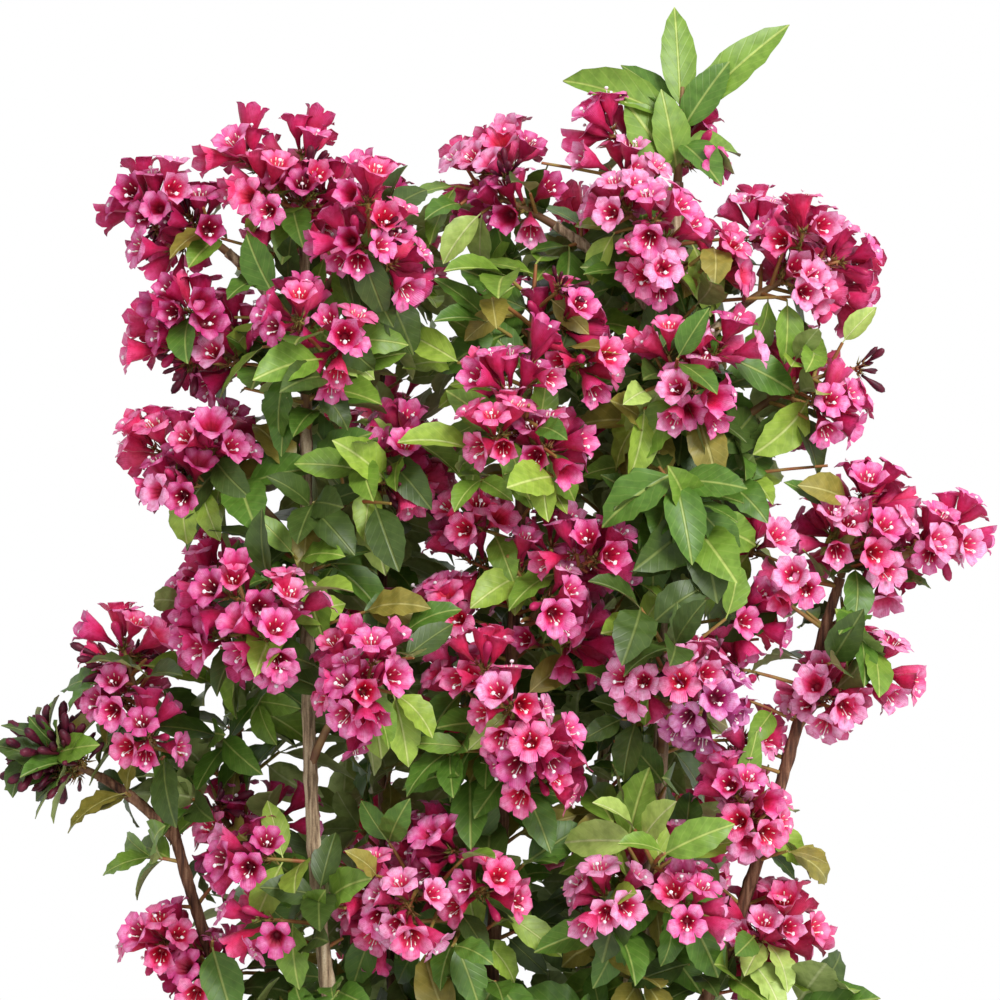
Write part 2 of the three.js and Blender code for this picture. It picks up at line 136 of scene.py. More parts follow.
deselect_all()
bpy.ops.mesh.primitive_circle_add(vertices=96, radius=FLOOR_RADIUS, fill_type="NGON", location=(0, 0, 0))
floor = bpy.context.object
floor.name = "floor"
print("lit by the room and one lamp of", lamp.data.energy, "W")

# %% [markdown]
# ## Finishes
#
# Each finish is a Principled shader with a pattern in front of it. The helper above adds a node, sets it
# and links it; everything else is a list of such calls. Petals and leaves read the piece's own UV map, in
# which v runs along the petal or the blade and u runs across it, because veins and the dark throat of a
# flower follow its shape. Bark reads Object coordinates, with its grain sizes in real millimetres.


# %% Helpers for finishes
def new_finish(name, roughness, ior):
    """A material and its node tree. What is the same all over is set on the shader."""
    material = bpy.data.materials.new(name)
    material.use_nodes = True
    tree = material.node_tree
    shader = tree.nodes["Principled BSDF"]
    shader.inputs["Roughness"].default_value = roughness
    shader.inputs["IOR"].default_value = ior
    return material, tree


def set_stops(ramp, places, colours):
    """Gives a colour ramp its stops, at places from 0 to 1, with hex colours."""
    elements = ramp.color_ramp.elements
    while len(elements) < len(places):
        elements.new(0.5)
    for element, place in zip(elements, places):
        element.position = place
    for element, colour in zip(elements, colours):
        element.color = linear(colour)


def dress(tree, colour, height, depth):
    """Gives the shader its colour, and a bump of a real depth from a height between 0 and 1."""
    shader = tree.nodes["Principled BSDF"]
    bump = add_node(tree, "Bump", {"Strength": 1.0, "Distance": depth, "Height": height})
    feed(tree, colour, shader.inputs["Base Color"])
    feed(tree, bump, shader.inputs["Normal"])


# %% [markdown]
# ### Petals
#
# A petal is matt and soft. Along its length the colour runs from a deep tube through a rose back to a
# paler lip, then over the lip's edge and down into a crimson throat. The middle line of each lobe is paler
# than its margins: partly the petal's own colour, and partly a painted highlight along the middle with
# painted shade towards the seams. Fine veins run lengthwise, and soft blotches keep it from looking even.
# The same pattern is mixed in several tints, from flowers that have just opened to ones that have faded
# to purple.
# In each list of colours, the first is the foot's and the last is deep in the throat.

# %% Petal finish
PETAL_TINTS = {
    "pale": ["#B01848", "#DE306C", "#EC5A96", "#F6A2D2", "#F69ACC", "#EE4C8C", "#DA2456", "#AC1640"],
    "rose": ["#AA104A", "#D82462", "#E6448A", "#F07CBA", "#EE62AC", "#E23078", "#C81A48", "#9C1036"],
    "deep": ["#8A0A38", "#BA144E", "#CA286A", "#DA4E98", "#CC3A86", "#BA1C54", "#A01038", "#780A28"],
    "warm": ["#BA1244", "#E62A60", "#F04682", "#F678AE", "#F25EA0", "#EE3068", "#DA1C44", "#A81030"],
    "lilac": ["#8A1458", "#B83480", "#CA5AA2", "#DE8CC6", "#D470B6", "#BE3686", "#9A1650", "#740E34"],
    "faded": ["#660E40", "#8E1A56", "#A83A76", "#C062A2", "#A43C7E", "#8E1A56", "#660C36", "#4A0826"],
}
PETAL_STOPS = [0.0, 0.26, 0.42, 0.52, 0.66, 0.76, 0.86, 1.0]
# A lobe's paler middle is partly its own colour and partly a painted highlight; its darker margins are
# painted shade at the seams.
MIDDLE_PALENESS_AND_HIGHLIGHT = [0.0, 0.06, 0.14, 0.38, 0.42, 0.12, 0.0, 0.0]  # at each stop, along a lobe's middle
PETAL_WHITE_AND_HIGHLIGHT = "#FBE2F4"
PETAL_SHADE = "#D03A7C"  # what the veins and the blotches are darkened by
VEINS_ACROSS_A_LOBE = 9
VEIN_SHARE = 0.16
PETAL_BLOTCH = 3 * MM


def paler(colour, share):
    """A hex colour, brought nearer to the lilac white of a petal's middle: its own paleness and a painted
    highlight.
    """
    own, white = ([int(code[k : k + 2], 16) for k in (1, 3, 5)] for code in (colour, PETAL_WHITE_AND_HIGHLIGHT))
    return "#" + "".join(f"{round(a + (b - a) * share):02X}" for a, b in zip(own, white))


def petal_finish(name, colours):
    material, tree = new_finish(name, 0.46, 1.4)
    add = partial(add_node, tree)
    split = add("SeparateXYZ", [add("UVMap", uv_map="grain")])
    across, along = split.outputs["X"], split.outputs["Y"]
    # The margins keep the tint, and the paler middle, partly own colour and partly a painted highlight, is
    # mixed in towards each lobe's middle line.
    margin, middle = add("ValToRGB", [along]), add("ValToRGB", [along])
    set_stops(margin, PETAL_STOPS, colours)
    set_stops(middle, PETAL_STOPS, map(paler, colours, MIDDLE_PALENESS_AND_HIGHLIGHT))
    from_margin = add("Math", [across, 0.5], operation="PINGPONG")
    lit_middle_share = add("MapRange", [from_margin, 0.08, 0.5, 0.0, 1.0])
    striped_and_lit = add("Mix", {"A": margin, "B": middle, "Factor": lit_middle_share}, data_type="RGBA")
    phase = add("Math", [across, math.tau * VEINS_ACROSS_A_LOBE], operation="MULTIPLY")
    wave = add("Math", [phase], operation="SINE")
    vein = add("Math", [wave, 0.5, 0.5], operation="MULTIPLY_ADD")
    place = add("TexCoord").outputs["Object"]
    cloud = add("TexNoise", {"Scale": 1 / PETAL_BLOTCH, "Detail": 2, "Vector": place})
    blotch = add("MapRange", [cloud, 0.42, 0.68, 0.0, 0.42])
    share = add("Math", [vein, VEIN_SHARE, blotch], operation="MULTIPLY_ADD")
    inputs = {"A": striped_and_lit.outputs["Result"], "B": linear(PETAL_SHADE), "Factor": share}
    veined = add("Mix", inputs, data_type="RGBA", blend_type="MULTIPLY")
    dress(tree, veined.outputs["Result"], vein, 0.15 * MM)
    return material


petal_finishes = [petal_finish(f"{tint} petal", colours) for tint, colours in PETAL_TINTS.items()]
print(len(petal_finishes), "petal tints")

# %% [markdown]
# ### The skin of a leaf
#
# A leaf is a little waxy, so it is less rough than a petal. Its midrib and its side veins are paler than
# the blade and lie in furrows, and the blade rises softly between them. Young leaves are a bright yellow
# green and old ones a deep green, and the underside of each is pale and matt. Deep and dark tints are
# also dealt to the leaves inside the crown and at the left, as painted shade.

# %% Leaf finish
LEAF_TINTS = {
    "deep": ["#567C2A", "#98AA58"],
    "dark": ["#465C24", "#728042"],
    "middle": ["#789A36", "#B4C466"],
    "fresh": ["#9AB644", "#C8D47E"],
    "bright": ["#B2CA68", "#D6DE9A"],
    "olive": ["#968A3C", "#C0B66E"],
}
UNDERSIDE = ["#98A862", "#BAC48A"]
LEAF_SHADE = "#A8B490"
LEAF_BLOTCH = 7 * MM
SIDE_VEINS = 8
VEIN_SLOPE = 1.1  # how far up the blade a side vein runs for its way out to the edge


def leaf_finish(name, blade, rib, roughness, furrow):
    material, tree = new_finish(name, roughness, 1.45)
    add = partial(add_node, tree)
    split = add("SeparateXYZ", [add("UVMap", uv_map="grain")])
    centred = add("Math", [split.outputs["X"], 0.5], operation="SUBTRACT")
    side = add("Math", [centred], operation="ABSOLUTE")
    along = add("Math", [side, -VEIN_SLOPE, split.outputs["Y"]], operation="MULTIPLY_ADD")
    phase = add("Math", [along, SIDE_VEINS], operation="MULTIPLY")
    swing = add("Math", [phase, 0.5], operation="PINGPONG")
    branch = add("MapRange", [swing, 0.0, 0.12, 0.17, 0.0])
    midrib = add("MapRange", [side, 0.008, 0.022, 0.95, 0.0])
    vein = add("Math", [branch, midrib], operation="MAXIMUM")
    coloured = add("Mix", {"A": linear(blade), "B": linear(rib), "Factor": vein}, data_type="RGBA")
    place = add("TexCoord").outputs["Object"]
    cloud = add("TexNoise", {"Scale": 1 / LEAF_BLOTCH, "Detail": 3, "Vector": place})
    blotch = add("MapRange", [cloud, 0.40, 0.66, 0.0, 0.5])
    inputs = {"A": coloured.outputs["Result"], "B": linear(LEAF_SHADE), "Factor": blotch}
    mottled = add("Mix", inputs, data_type="RGBA", blend_type="MULTIPLY")
    upside = add("Math", [1.0, vein], operation="SUBTRACT")
    dress(tree, mottled.outputs["Result"], upside, furrow)
    return material


leaf_finishes = [
    leaf_finish(f"{tint} leaf", *colours, 0.42, 0.4 * MM) for tint, colours in LEAF_TINTS.items()
]
underside_finish = leaf_finish("leaf underside", *UNDERSIDE, 0.65, 0.2 * MM)
print(len(leaf_finishes), "leaf tints and one underside")

# %% [markdown]
# ### Wood, stalks and the hearts of the flowers
#
# Old weigela bark is a dry tan grey, cracked lengthwise into thin strips. The young twigs are a smooth
# reddish brown that turns green towards the tips. The small parts of a flower, its stigma, anthers,
# sepals and buds, are each about as plain as they look: waxy, in one colour with a little mottling.

# %% Bark finish
CRACK_WIDTH = 1.6 * MM
STRIP_LENGTH = 26 * MM
FLECK = 1.1 * MM


def bark_finish(name, colours):
    material, tree = new_finish(name, 0.85, 1.5)
    add = partial(add_node, tree)
    place = add("TexCoord").outputs["Object"]
    stretch = (1 / CRACK_WIDTH, 1 / CRACK_WIDTH, 1 / STRIP_LENGTH)
    drawn_out = add("Mapping", {"Scale": stretch, "Vector": place})
    strips = add("TexNoise", {"Scale": 0.55, "Detail": 4, "Vector": drawn_out})
    fleck = add("TexNoise", {"Scale": 1 / FLECK, "Detail": 2, "Vector": place})
    ramp = add("ValToRGB", [strips])
    set_stops(ramp, [0.34, 0.46, 0.56, 0.68], colours)
    inputs = {"Factor": 0.35, "A": ramp, "B": fleck}
    mottled = add("Mix", inputs, data_type="RGBA", blend_type="OVERLAY")
    dress(tree, mottled.outputs["Result"], strips, 0.9 * MM)
    return material


old_bark = bark_finish("cracked old bark", ["#5E4A36", "#9C8568", "#B9A485", "#CDBC9E"])
young_bark = bark_finish("red-brown young bark", ["#3E2418", "#64402C", "#7E5840", "#967258"])
root_bark = bark_finish("coarse root bark", ["#4A3828", "#77614A", "#937C60", "#A9957A"])
print("bark strips", round(STRIP_LENGTH / MM), "mm long")


# %% Smooth finishes
def waxy_finish(name, colour, second, grain, roughness=0.5):
    """A smooth skin in one colour, with a soft mottling of a second one."""
    material, tree = new_finish(name, roughness, 1.42)
    place = add_node(tree, "TexCoord").outputs["Object"]
    mottle = add_node(tree, "TexNoise", {"Scale": 1 / grain, "Detail": 2, "Vector": place})
    ramp = add_node(tree, "ValToRGB", [mottle])
    set_stops(ramp, [0.35, 0.65], [colour, second])
    dress(tree, ramp, mottle, 0.1 * MM)
    return material


twig_skin = waxy_finish("red-brown twig skin", "#6A4630", "#8E7046", 14 * MM, 0.6)
shoot_skin = waxy_finish("reddish shoot skin", "#9A8C44", "#A0583A", 16 * MM, 0.55)
stigma_skin = waxy_finish("white stigma", "#FFFFFF", "#F4E6EC", 2 * MM, 0.45)
anther_skin = waxy_finish("cream anther", "#FBF3E4", "#F0DCC4", 1.5 * MM, 0.6)
sepal_skin = waxy_finish("reddish sepal", "#7C7E36", "#96503A", 9 * MM, 0.55)
bud_skins = [
    waxy_finish("crimson bud", "#A8184C", "#C22C66", 6 * MM, 0.45),
    waxy_finish("wine-dark bud", "#3C0C20", "#66142F", 6 * MM, 0.5),
]
print("seven smooth skins")

# %% [markdown]
# ## The wood
#
# A stem is a curve through three points: its foot on the root crown, its bow, and its tip. The curve is
# a centripetal Catmull-Rom one, as in the solid model, so that the stems run just where its stems do. A
# side shoot is a quadratic Bezier curve that leaves its stem steeply and arches outwards. Both are kept
# as a run of points, equally far apart, with their lengths in millimetres.

# %% The sizes of the shrub, in millimetres
GAP = 0.3
FOOT_CIRCLE = 24
FOOT_DEPTH = 12
BOW_HEIGHT = 320
BARE_WOOD = 16
RISE = 0.55
ARCH_ALONG, ARCH_UP = 0.42, 0.8
PAST_MIDDLE = 0.25
TOP_RISE = 0.5
LEAST_SEAT_HEIGHT = 70
UP = np.array([0.0, 0.0, 1.0])
SIDES = {
    "right": 0, "back_right": 45, "back": 90, "back_left": 135,
    "left": 180, "front_left": 225, "front": 270, "front_right": 315,
}

# Each stem has its foot's azimuth, its radius there and at its tip, its bow [x, y], its tip [x, y, z],
# the size of its top mass, and its side masses as (tier, height, side, reach, size).
STEMS = {
    "left": SimpleNamespace(
        foot=230, radii=(6.0, 3.5), bow=(-90, -62), tip=(-108, -30, 835), top=60,
        masses=[
            ("shoulder", 852, "left", 147, 53),
            ("high", 832, "front_right", 124, 64),
            ("upper", 766, "left", 133, 60),
            ("upper", 766, "front", 118, 78),
            ("middle", 682, "left", 136, 60),
            ("middle", 682, "right", 127, 66),
            ("lower", 584, "front_left", 116, 68),
            ("low", 540, "front_right", 132, 72),
        ],
    ),
    "mid_left": SimpleNamespace(
        foot=160, radii=(5.8, 3.3), bow=(-134, 22), tip=(-165, 24, 552), top=58,
        masses=[("low", 440, "front_left", 88, 61)],
    ),
    "far_left": SimpleNamespace(
        foot=195, radii=(6.0, 3.3), bow=(-168, -14), tip=(-219, -22, 498), top=57,
        masses=[("spray", 474, "left", 110, 38), ("skirt", 346, "left", 72, 56)],
    ),
    "centre": SimpleNamespace(
        foot=268, radii=(6.6, 3.5), bow=(22, -10), tip=(48, -25, 738), top=76,
        masses=[
            ("upper", 708, "front", 125, 74),
            ("middle", 608, "front_right", 126, 76),
            ("lower", 505, "front", 131, 83),
            ("low", 388, "front_left", 154, 87),
            ("skirt", 246, "front", 138, 112),
        ],
    ),
    "right": SimpleNamespace(
        foot=315, radii=(7.4, 3.8), bow=(122, -14), tip=(152, -6, 872), top=89,
        masses=[
            ("arm", 868, "left", 190, 56),
            ("high", 850, "front_left", 112, 78),
            ("shoulder", 815, "right", 150, 56),
            ("upper", 740, "front", 123, 71),
            ("upper", 740, "right", 161, 58),
            ("middle", 662, "front", 115, 71),
            ("lower", 548, "front", 142, 87),
            ("low", 404, "front", 116, 78),
        ],
    ),
    "far_right": SimpleNamespace(
        foot=0, radii=(6.4, 3.5), bow=(178, -22), tip=(264, -24, 596), top=68,
        masses=[
            ("outlier", 630, "right", 110, 40),
            ("middle", 532, "right", 76, 48),
            ("lower", 446, "front_left", 84, 57),
            ("low", 352, "right", 78, 60),
            ("skirt", 304, "right", 132, 47),
        ],
    ),
    "back_left": SimpleNamespace(
        foot=120, radii=(6.4, 3.5), bow=(-50, 80), tip=(-60, 90, 766), top=89,
        masses=[
            ("upper", 692, "back", 122, 95),
            ("middle", 560, "left", 112, 98),
            ("low", 400, "back", 124, 104),
        ],
    ),
    "back_right": SimpleNamespace(
        foot=60, radii=(6.4, 3.5), bow=(90, 80), tip=(114, 94, 770), top=89,
        masses=[
            ("upper", 688, "back_right", 134, 95),
            ("middle", 552, "back_left", 134, 98),
            ("low", 400, "back_right", 146, 104),
            ("skirt", 228, "left", 146, 118),
        ],
    ),
}
# The masses that don't flower.
KINDS = {
    "far_left_spray": "bud", "centre_skirt": "leaf", "right_top": "leaf", "right_middle": "leaf",
    "far_right_skirt": "leaf", "back_right_skirt": "leaf",
}
print(len(STEMS), "stems carry", sum(1 + len(stem.masses) for stem in STEMS.values()), "masses")


# %% Curves
def unit(vector):
    return vector / np.linalg.norm(vector)


class Path:
    """A curve as points that are equally far apart along it, in millimetres."""

    SHARES = np.linspace(0, 1, 201)

    def __init__(self, points):
        lengths = np.concatenate([[0], np.cumsum(np.linalg.norm(np.diff(points, axis=0), axis=1))])
        self.length = lengths[-1]
        evenly = self.SHARES * self.length
        self.points = np.stack([np.interp(evenly, lengths, points[:, k]) for k in range(3)], axis=1)

    def at(self, share):
        return np.array([np.interp(share, self.SHARES, self.points[:, k]) for k in range(3)])

    def along(self, share):
        low, high = max(0, share - 0.004), min(1, share + 0.004)
        return unit(self.at(high) - self.at(low))

    def share_at_height(self, height):
        return np.interp(height, self.points[:, 2], self.SHARES)


def catmull_rom(points):
    """A centripetal Catmull-Rom curve, which runs on straight past its two ends."""
    through = [2 * points[0] - points[1], *points, 2 * points[-1] - points[-2]]
    t = np.linspace(0, 1, 101)[:, None]
    stretches = []
    for a, b, c, d in zip(through, through[1:], through[2:], through[3:]):
        p, q, r = [np.linalg.norm(step) ** 0.5 for step in (b - a, c - b, d - c)]
        leave = ((b - a) / p - (c - a) / (p + q) + (c - b) / q) * q
        arrive = ((c - b) / q - (d - b) / (q + r) + (d - c) / r) * q
        square = 3 * (c - b) - 2 * leave - arrive
        cube = 2 * (b - c) + leave + arrive
        stretches.append(b + leave * t + square * t**2 + cube * t**3)
    return Path(np.concatenate([stretches[0], *[stretch[1:] for stretch in stretches[1:]]]))


def bezier(start, knee, end):
    t = np.linspace(0, 1, 101)[:, None]
    return Path(start * (1 - t) ** 2 + 2 * knee * t * (1 - t) + end * t**2)


# %% Where the stems and the masses are
def new_mass(name, size, centre, start, knee, end, bare=0):
    mass = SimpleNamespace(name=name, size=size, centre=centre, start=0.0, bare=bare)
    mass.path = bezier(start, knee, end)
    return mass


def side_mass(stem_name, path, tier, height, side, reach, size):
    out = np.array([math.cos(math.radians(SIDES[side])), math.sin(math.radians(SIDES[side])), 0])
    axis = path.at(path.share_at_height(height))
    centre = axis + out * (reach - size)
    centre[2] = height
    seat_height = max(LEAST_SEAT_HEIGHT, min(height, axis[2]) - reach * RISE)
    start = path.at(path.share_at_height(seat_height))
    end = centre + out * size * PAST_MIDDLE
    knee = start + (end - start) * ARCH_ALONG
    knee[2] = start[2] + (end[2] - start[2]) * ARCH_UP
    return new_mass(f"{stem_name}_{tier}", size, centre, start, knee, end, bare=reach - 2 * size)


def top_mass(stem_name, path, size):
    tip, along = path.at(1), path.along(1)
    start = tip + along * GAP
    centre = tip + along * size * TOP_RISE
    end = centre + along * size * PAST_MIDDLE
    return new_mass(f"{stem_name}_top", size, centre, start, (start + end) / 2, end)


def share_at_entry(mass, distance):
    """The share of its path at which a mass's shoot comes within a distance of the mass's middle."""
    apart = np.linalg.norm(mass.path.points - mass.centre, axis=1)
    return Path.SHARES[np.argmax(apart < distance)]


masses = []
for stem_name, stem in STEMS.items():
    foot = math.radians(stem.foot)
    start = [FOOT_CIRCLE * math.cos(foot), FOOT_CIRCLE * math.sin(foot), FOOT_DEPTH]
    stem.path = catmull_rom([np.array(p, float) for p in (start, (*stem.bow, BOW_HEIGHT), stem.tip)])
    tiers = [row[0] for row in stem.masses]
    grown = [top_mass(stem_name, stem.path, stem.top)]
    for tier, height, side, *rest in stem.masses:
        mass = side_mass(stem_name, stem.path, tier, height, side, *rest)
        if tiers.count(tier) > 1:
            mass.name += f"_{side}"
        grown.append(mass)
    for mass in grown:
        mass.stem = stem_name
        mass.kind = KINDS.get(mass.name, "blossom")
        mass.node = f"foliage_{mass.name}"
        mass.seed = len(masses) + 1
        masses.append(mass)
        if mass.bare > BARE_WOOD:
            mass.start = share_at_entry(mass, mass.size) + GAP / mass.path.length
            mass.bough = f"bough_{mass.name}"

boughs = [mass for mass in masses if mass.start > 0]
missing = [m.node for m in masses if m.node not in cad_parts]
missing += [m.bough for m in boughs if m.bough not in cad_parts]
print(len(masses), "masses,", len(boughs), "boughs, names that the frame lacks:", missing)

# %% [markdown]
# ### Stems with the relief of their bark
#
# A stem could be a lofted tube of rings, but a curve with a round bevel is the quickest way to one: each
# of its points carries its own radius, so the taper and the swollen nodes, where leaves once stood in
# pairs, are just numbers along it. The curve is turned into a mesh, and the bark's relief is pushed into
# it by Displace modifiers. Their cloud texture reads the tube's own UV map, pulled out along the stem,
# which turns round clouds into long strips. Each bough is a spline of its stem's curve.

# %% Tubes along curves
NODE_SPACING = 46  # millimetres between the swollen nodes of a stem
NODE_SWELL = 0.16
NODE_LENGTH = 5
RING_SPACING = 2.2
WOOD_BEVEL, TWIG_BEVEL = 8, 1  # a tube has twice this number of sides and four more


def tube_piece(name, strands, bevel_resolution):
    """One mesh of closed round tubes. Each strand is its points and its radii, in millimetres."""
    deselect_all()
    bpy.ops.curve.primitive_nurbs_path_add(location=(0, 0, 0))
    piece = bpy.context.object
    curve = piece.data
    curve.splines.clear()
    curve.bevel_depth = 1.0
    curve.bevel_resolution = bevel_resolution
    curve.use_fill_caps = True
    curve.twist_mode = "MINIMUM"
    for points, radii in strands:
        spline = curve.splines.new("POLY")
        spline.points.add(len(points) - 1)
        placed = np.column_stack([np.array(points) * MM, np.ones(len(points))])
        spline.points.foreach_set("co", placed.ravel())
        spline.points.foreach_set("radius", np.array(radii) * MM)
    bpy.ops.object.convert(target="MESH")
    piece = bpy.context.object
    piece.name = name
    piece.data.name = name
    bpy.ops.object.shade_smooth()
    return piece


def limb_strand(path, radii, start=0.0, end=1.0):
    """A tapered limb with a swelling at each of its nodes."""
    count = max(4, round(path.length * (end - start) / RING_SPACING))
    shares = np.linspace(start, end, count)
    lengths = shares * path.length
    taper = radii[0] + (radii[1] - radii[0]) * (shares - start) / (end - start)
    from_node = (lengths + NODE_SPACING / 2) % NODE_SPACING - NODE_SPACING / 2
    swell = NODE_SWELL * np.exp(-((from_node / NODE_LENGTH) ** 2))
    return [path.at(share) for share in shares], taper * (1 + swell)


# %% Bark relief
RELIEFS = {"strips": (3.0, 1.1), "cracks": (1.2, 0.7)}  # the width of a strip or crack, its depth, in mm
STRIP_STRETCH = 9


def clouds(name, size):
    """A cloud texture for a Displace modifier, with the size of its blobs."""
    texture = bpy.data.textures.new(name, "CLOUDS")
    texture.noise_scale = size
    return texture


def apply_modifier(piece, name, kind, **settings):
    """Gives the active piece a modifier, and applies it."""
    modifier = piece.modifiers.new(name, kind)
    for key, value in settings.items():
        setattr(modifier, key, value)
    bpy.ops.object.modifier_apply(modifier=modifier.name)


def add_bark_relief(piece, tube_length, girth):
    """Displaces a tube with clouds that are drawn out lengthwise."""
    uv = piece.data.uv_layers[0]
    places = np.empty(len(uv.data) * 2)
    uv.data.foreach_get("uv", places)
    places = places.reshape(-1, 2) * [tube_length / STRIP_STRETCH, girth]
    uv.data.foreach_set("uv", places.ravel())
    drawn = {"texture_coords": "UV", "uv_layer": uv.name}
    for name, (width, depth) in RELIEFS.items():
        apply_modifier(piece, name, "DISPLACE", texture=clouds(name, width), strength=depth * MM, **drawn)


BOUGH_RADII = (4.0, 3.3)
OLD_STEMS = {"left", "right", "back_right"}
for stem_name, stem in STEMS.items():
    own_boughs = [mass for mass in boughs if mass.stem == stem_name]
    strands = [limb_strand(stem.path, stem.radii)]
    strands += [limb_strand(mass.path, BOUGH_RADII, 0, mass.start) for mass in own_boughs]
    wood = tube_piece(f"bark_of_{stem_name}_stem", strands, WOOD_BEVEL)
    add_bark_relief(wood, stem.path.length, math.tau * sum(stem.radii) / 2)
    wood.data.materials.append(old_bark if stem_name in OLD_STEMS else young_bark)
    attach(wood, "root")
    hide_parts(f"stem_{stem_name}", *[mass.bough for mass in own_boughs])
    print(wood.name, len(wood.data.polygons), "faces,", len(own_boughs), "boughs")


# %% [markdown]
# ### The root crown
#
# The stool that the stems stand in has the right flare already, but it is faceted. A copy of its mesh is
# merged, smoothed by a Subdivision Surface modifier with its ground cut kept flat, and roughened.

# %% Root crown
BURL_SIZE, BURL_HEIGHT = 7 * MM, 3.5 * MM


def select_everything():
    bpy.ops.mesh.select_all(action="SELECT")


def select_nothing():
    bpy.ops.mesh.select_all(action="DESELECT")


def start_editing():
    """Opens the active piece in edit mode, with all of its mesh selected."""
    bpy.ops.object.mode_set(mode="EDIT")
    select_everything()


def stop_editing():
    select_nothing()
    bpy.ops.object.mode_set(mode="OBJECT")


deselect_all()
stool_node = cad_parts["root_crown"]
stool = bpy.data.objects.new("bark_of_root_crown", stool_node.data.copy())
bpy.context.collection.objects.link(stool)
bpy.context.view_layer.objects.active = stool
stool.select_set(True)
start_editing()
bpy.ops.mesh.remove_doubles(threshold=0.01 * MM)
stop_editing()
crease = stool.data.attributes.new("crease_edge", "FLOAT", "EDGE")
for edge in stool.data.edges:
    heights = [stool.data.vertices[k].co.z for k in edge.vertices]
    crease.data[edge.index].value = 1.0 if max(heights) < 0.1 * MM else 0.0
apply_modifier(stool, "smooth", "SUBSURF", levels=4, render_levels=4)
burls = {"texture": clouds("burls", BURL_SIZE), "texture_coords": "LOCAL", "mid_level": 0.6}
apply_modifier(stool, "burls", "DISPLACE", strength=BURL_HEIGHT, **burls)
for vertex in stool.data.vertices:
    vertex.co.z = max(0.0, vertex.co.z)
stool.data.materials.clear()
stool.data.materials.append(root_bark)
bpy.ops.object.shade_smooth()
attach(stool, "root")
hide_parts("root_crown")
print("the root crown has", len(stool.data.polygons), "faces")

# %% [markdown]
# ## What repeats
#
# A flower, a leaf, a bud: each is modelled once, from a primitive, and kept as a template that
# hundreds of copies are dealt out from. Each has only a few dozen faces. Its foot is at the origin, it
# grows along +Z, and its upper side is +Y. In edit mode faces and edges are picked by their place.


# %% Helpers for modelling
def pick(test):
    """In edit mode, selects the vertices whose place passes the test, and nothing else."""
    mesh = bpy.context.edit_object.data
    bpy.ops.mesh.select_mode(type="VERT")
    select_nothing()
    work = bmesh.from_edit_mesh(mesh)
    for vertex in work.verts:
        vertex.select_set(bool(test(vertex.co / MM)))
    work.select_flush_mode()
    bmesh.update_edit_mesh(mesh)


def extrude(x=0.0, y=0.0, z=0.0):
    """Extrudes what is selected by a step in millimetres."""
    bpy.ops.mesh.extrude_region_move(TRANSFORM_OT_translate={"value": (x * MM, y * MM, z * MM)})


def move(x=0.0, y=0.0, z=0.0):
    bpy.ops.transform.translate(value=(x * MM, y * MM, z * MM))


def widen(x=1.0, y=1.0, z=1.0, centre=(0, 0, 0)):
    bpy.ops.transform.resize(value=(x, y, z), center_override=tuple(c * MM for c in centre))


def extrude_rings(rings):
    """Extrudes a ring upwards, from the first (height, radius) through all the others."""
    for (height, radius), (next_height, next_radius) in zip(rings, rings[1:]):
        extrude(z=next_height - height)
        widen(x=next_radius / radius, y=next_radius / radius)


def turn_round(axis, angle):
    about = {"orient_type": "GLOBAL", "center_override": (0, 0, 0)}
    bpy.ops.transform.rotate(value=angle, orient_axis=axis, **about)


def make_five():
    """Copies what is selected four times round the middle, a fifth of a turn apart."""
    bpy.ops.mesh.spin(steps=4, dupli=True, angle=math.radians(288), center=(0, 0, 0), axis=(0, 0, 1))


def read_template(piece):
    """Takes a finished model as arrays, and removes it."""
    mesh = piece.data
    mesh.calc_loop_triangles()

    def read(items, key, width, kind):
        values = np.empty(len(items) * width, kind)
        items.foreach_get(key, values)
        return values.reshape(-1, width) if width > 1 else values

    arrays = SimpleNamespace(triangles=len(mesh.loop_triangles))
    arrays.places = read(mesh.vertices, "co", 3, np.float32)
    arrays.edges = read(mesh.edges, "vertices", 2, np.int32)
    arrays.corner_vertices = read(mesh.loops, "vertex_index", 1, np.int32)
    arrays.corner_edges = read(mesh.loops, "edge_index", 1, np.int32)
    arrays.starts = read(mesh.polygons, "loop_start", 1, np.int32)
    arrays.parts = read(mesh.polygons, "material_index", 1, np.int32)
    arrays.uv = read(mesh.uv_layers[0].data, "uv", 2, np.float32)
    sharp = mesh.attributes.get("sharp_edge")
    arrays.sharp = read(sharp.data, "value", 1, bool) if sharp else np.zeros(len(mesh.edges), bool)
    bpy.data.objects.remove(piece)
    return arrays


# %% [markdown]
# ### The flower
#
# A weigela flower is a funnel of five petals, joined for three quarters of their length. Only a fifth of
# it is modelled: a strip two faces wide, extruded upward from a small circle and widened into the
# funnel, then into one rounded lobe. The inner skin of the lobe is a flipped copy, set a little inwards
# in the middle, and runs down into the throat. Spin then turns that fifth into a whole flower. Its lower
# lip is drawn out, a Displace modifier ruffles its lobes and Simple Deform bends it. One function models
# the three kinds that a shrub bears at once: open, wide with its lobes turned back, and still a bell.

# %% Modelling a flower
KEPT_AZIMUTHS = {54, 90, 126}  # the three of a ring's ten points that a fifth of it keeps
FLOWER_TUBE = [(8, 1.2), (17, 2.4), (24, 6.2), (32, 8.6)]  # (height, radius) from the foot to the rim
LOBE_TIP = 0.7  # how far the middle of a lobe's edge stands out
LIP_THICKNESS, RIM_THICKNESS = 0.25, 0.5
THROAT_DEPTH, THROAT_NARROWING = 12, 0.34
BENT_LENGTH = 32  # the length over which a flower bends by its whole angle
SMOOTH_UNDER = math.radians(75)


def bend_down(piece, angle):
    """Bends a flower or its heart along its length. The modifier's angle is that of the piece alone."""
    heights = [vertex.co.z / MM for vertex in piece.data.vertices]
    own_angle = math.radians(angle) * (max(heights) - min(heights)) / BENT_LENGTH
    apply_modifier(piece, "bend", "SIMPLE_DEFORM", deform_method="BEND", deform_axis="X", angle=own_angle)


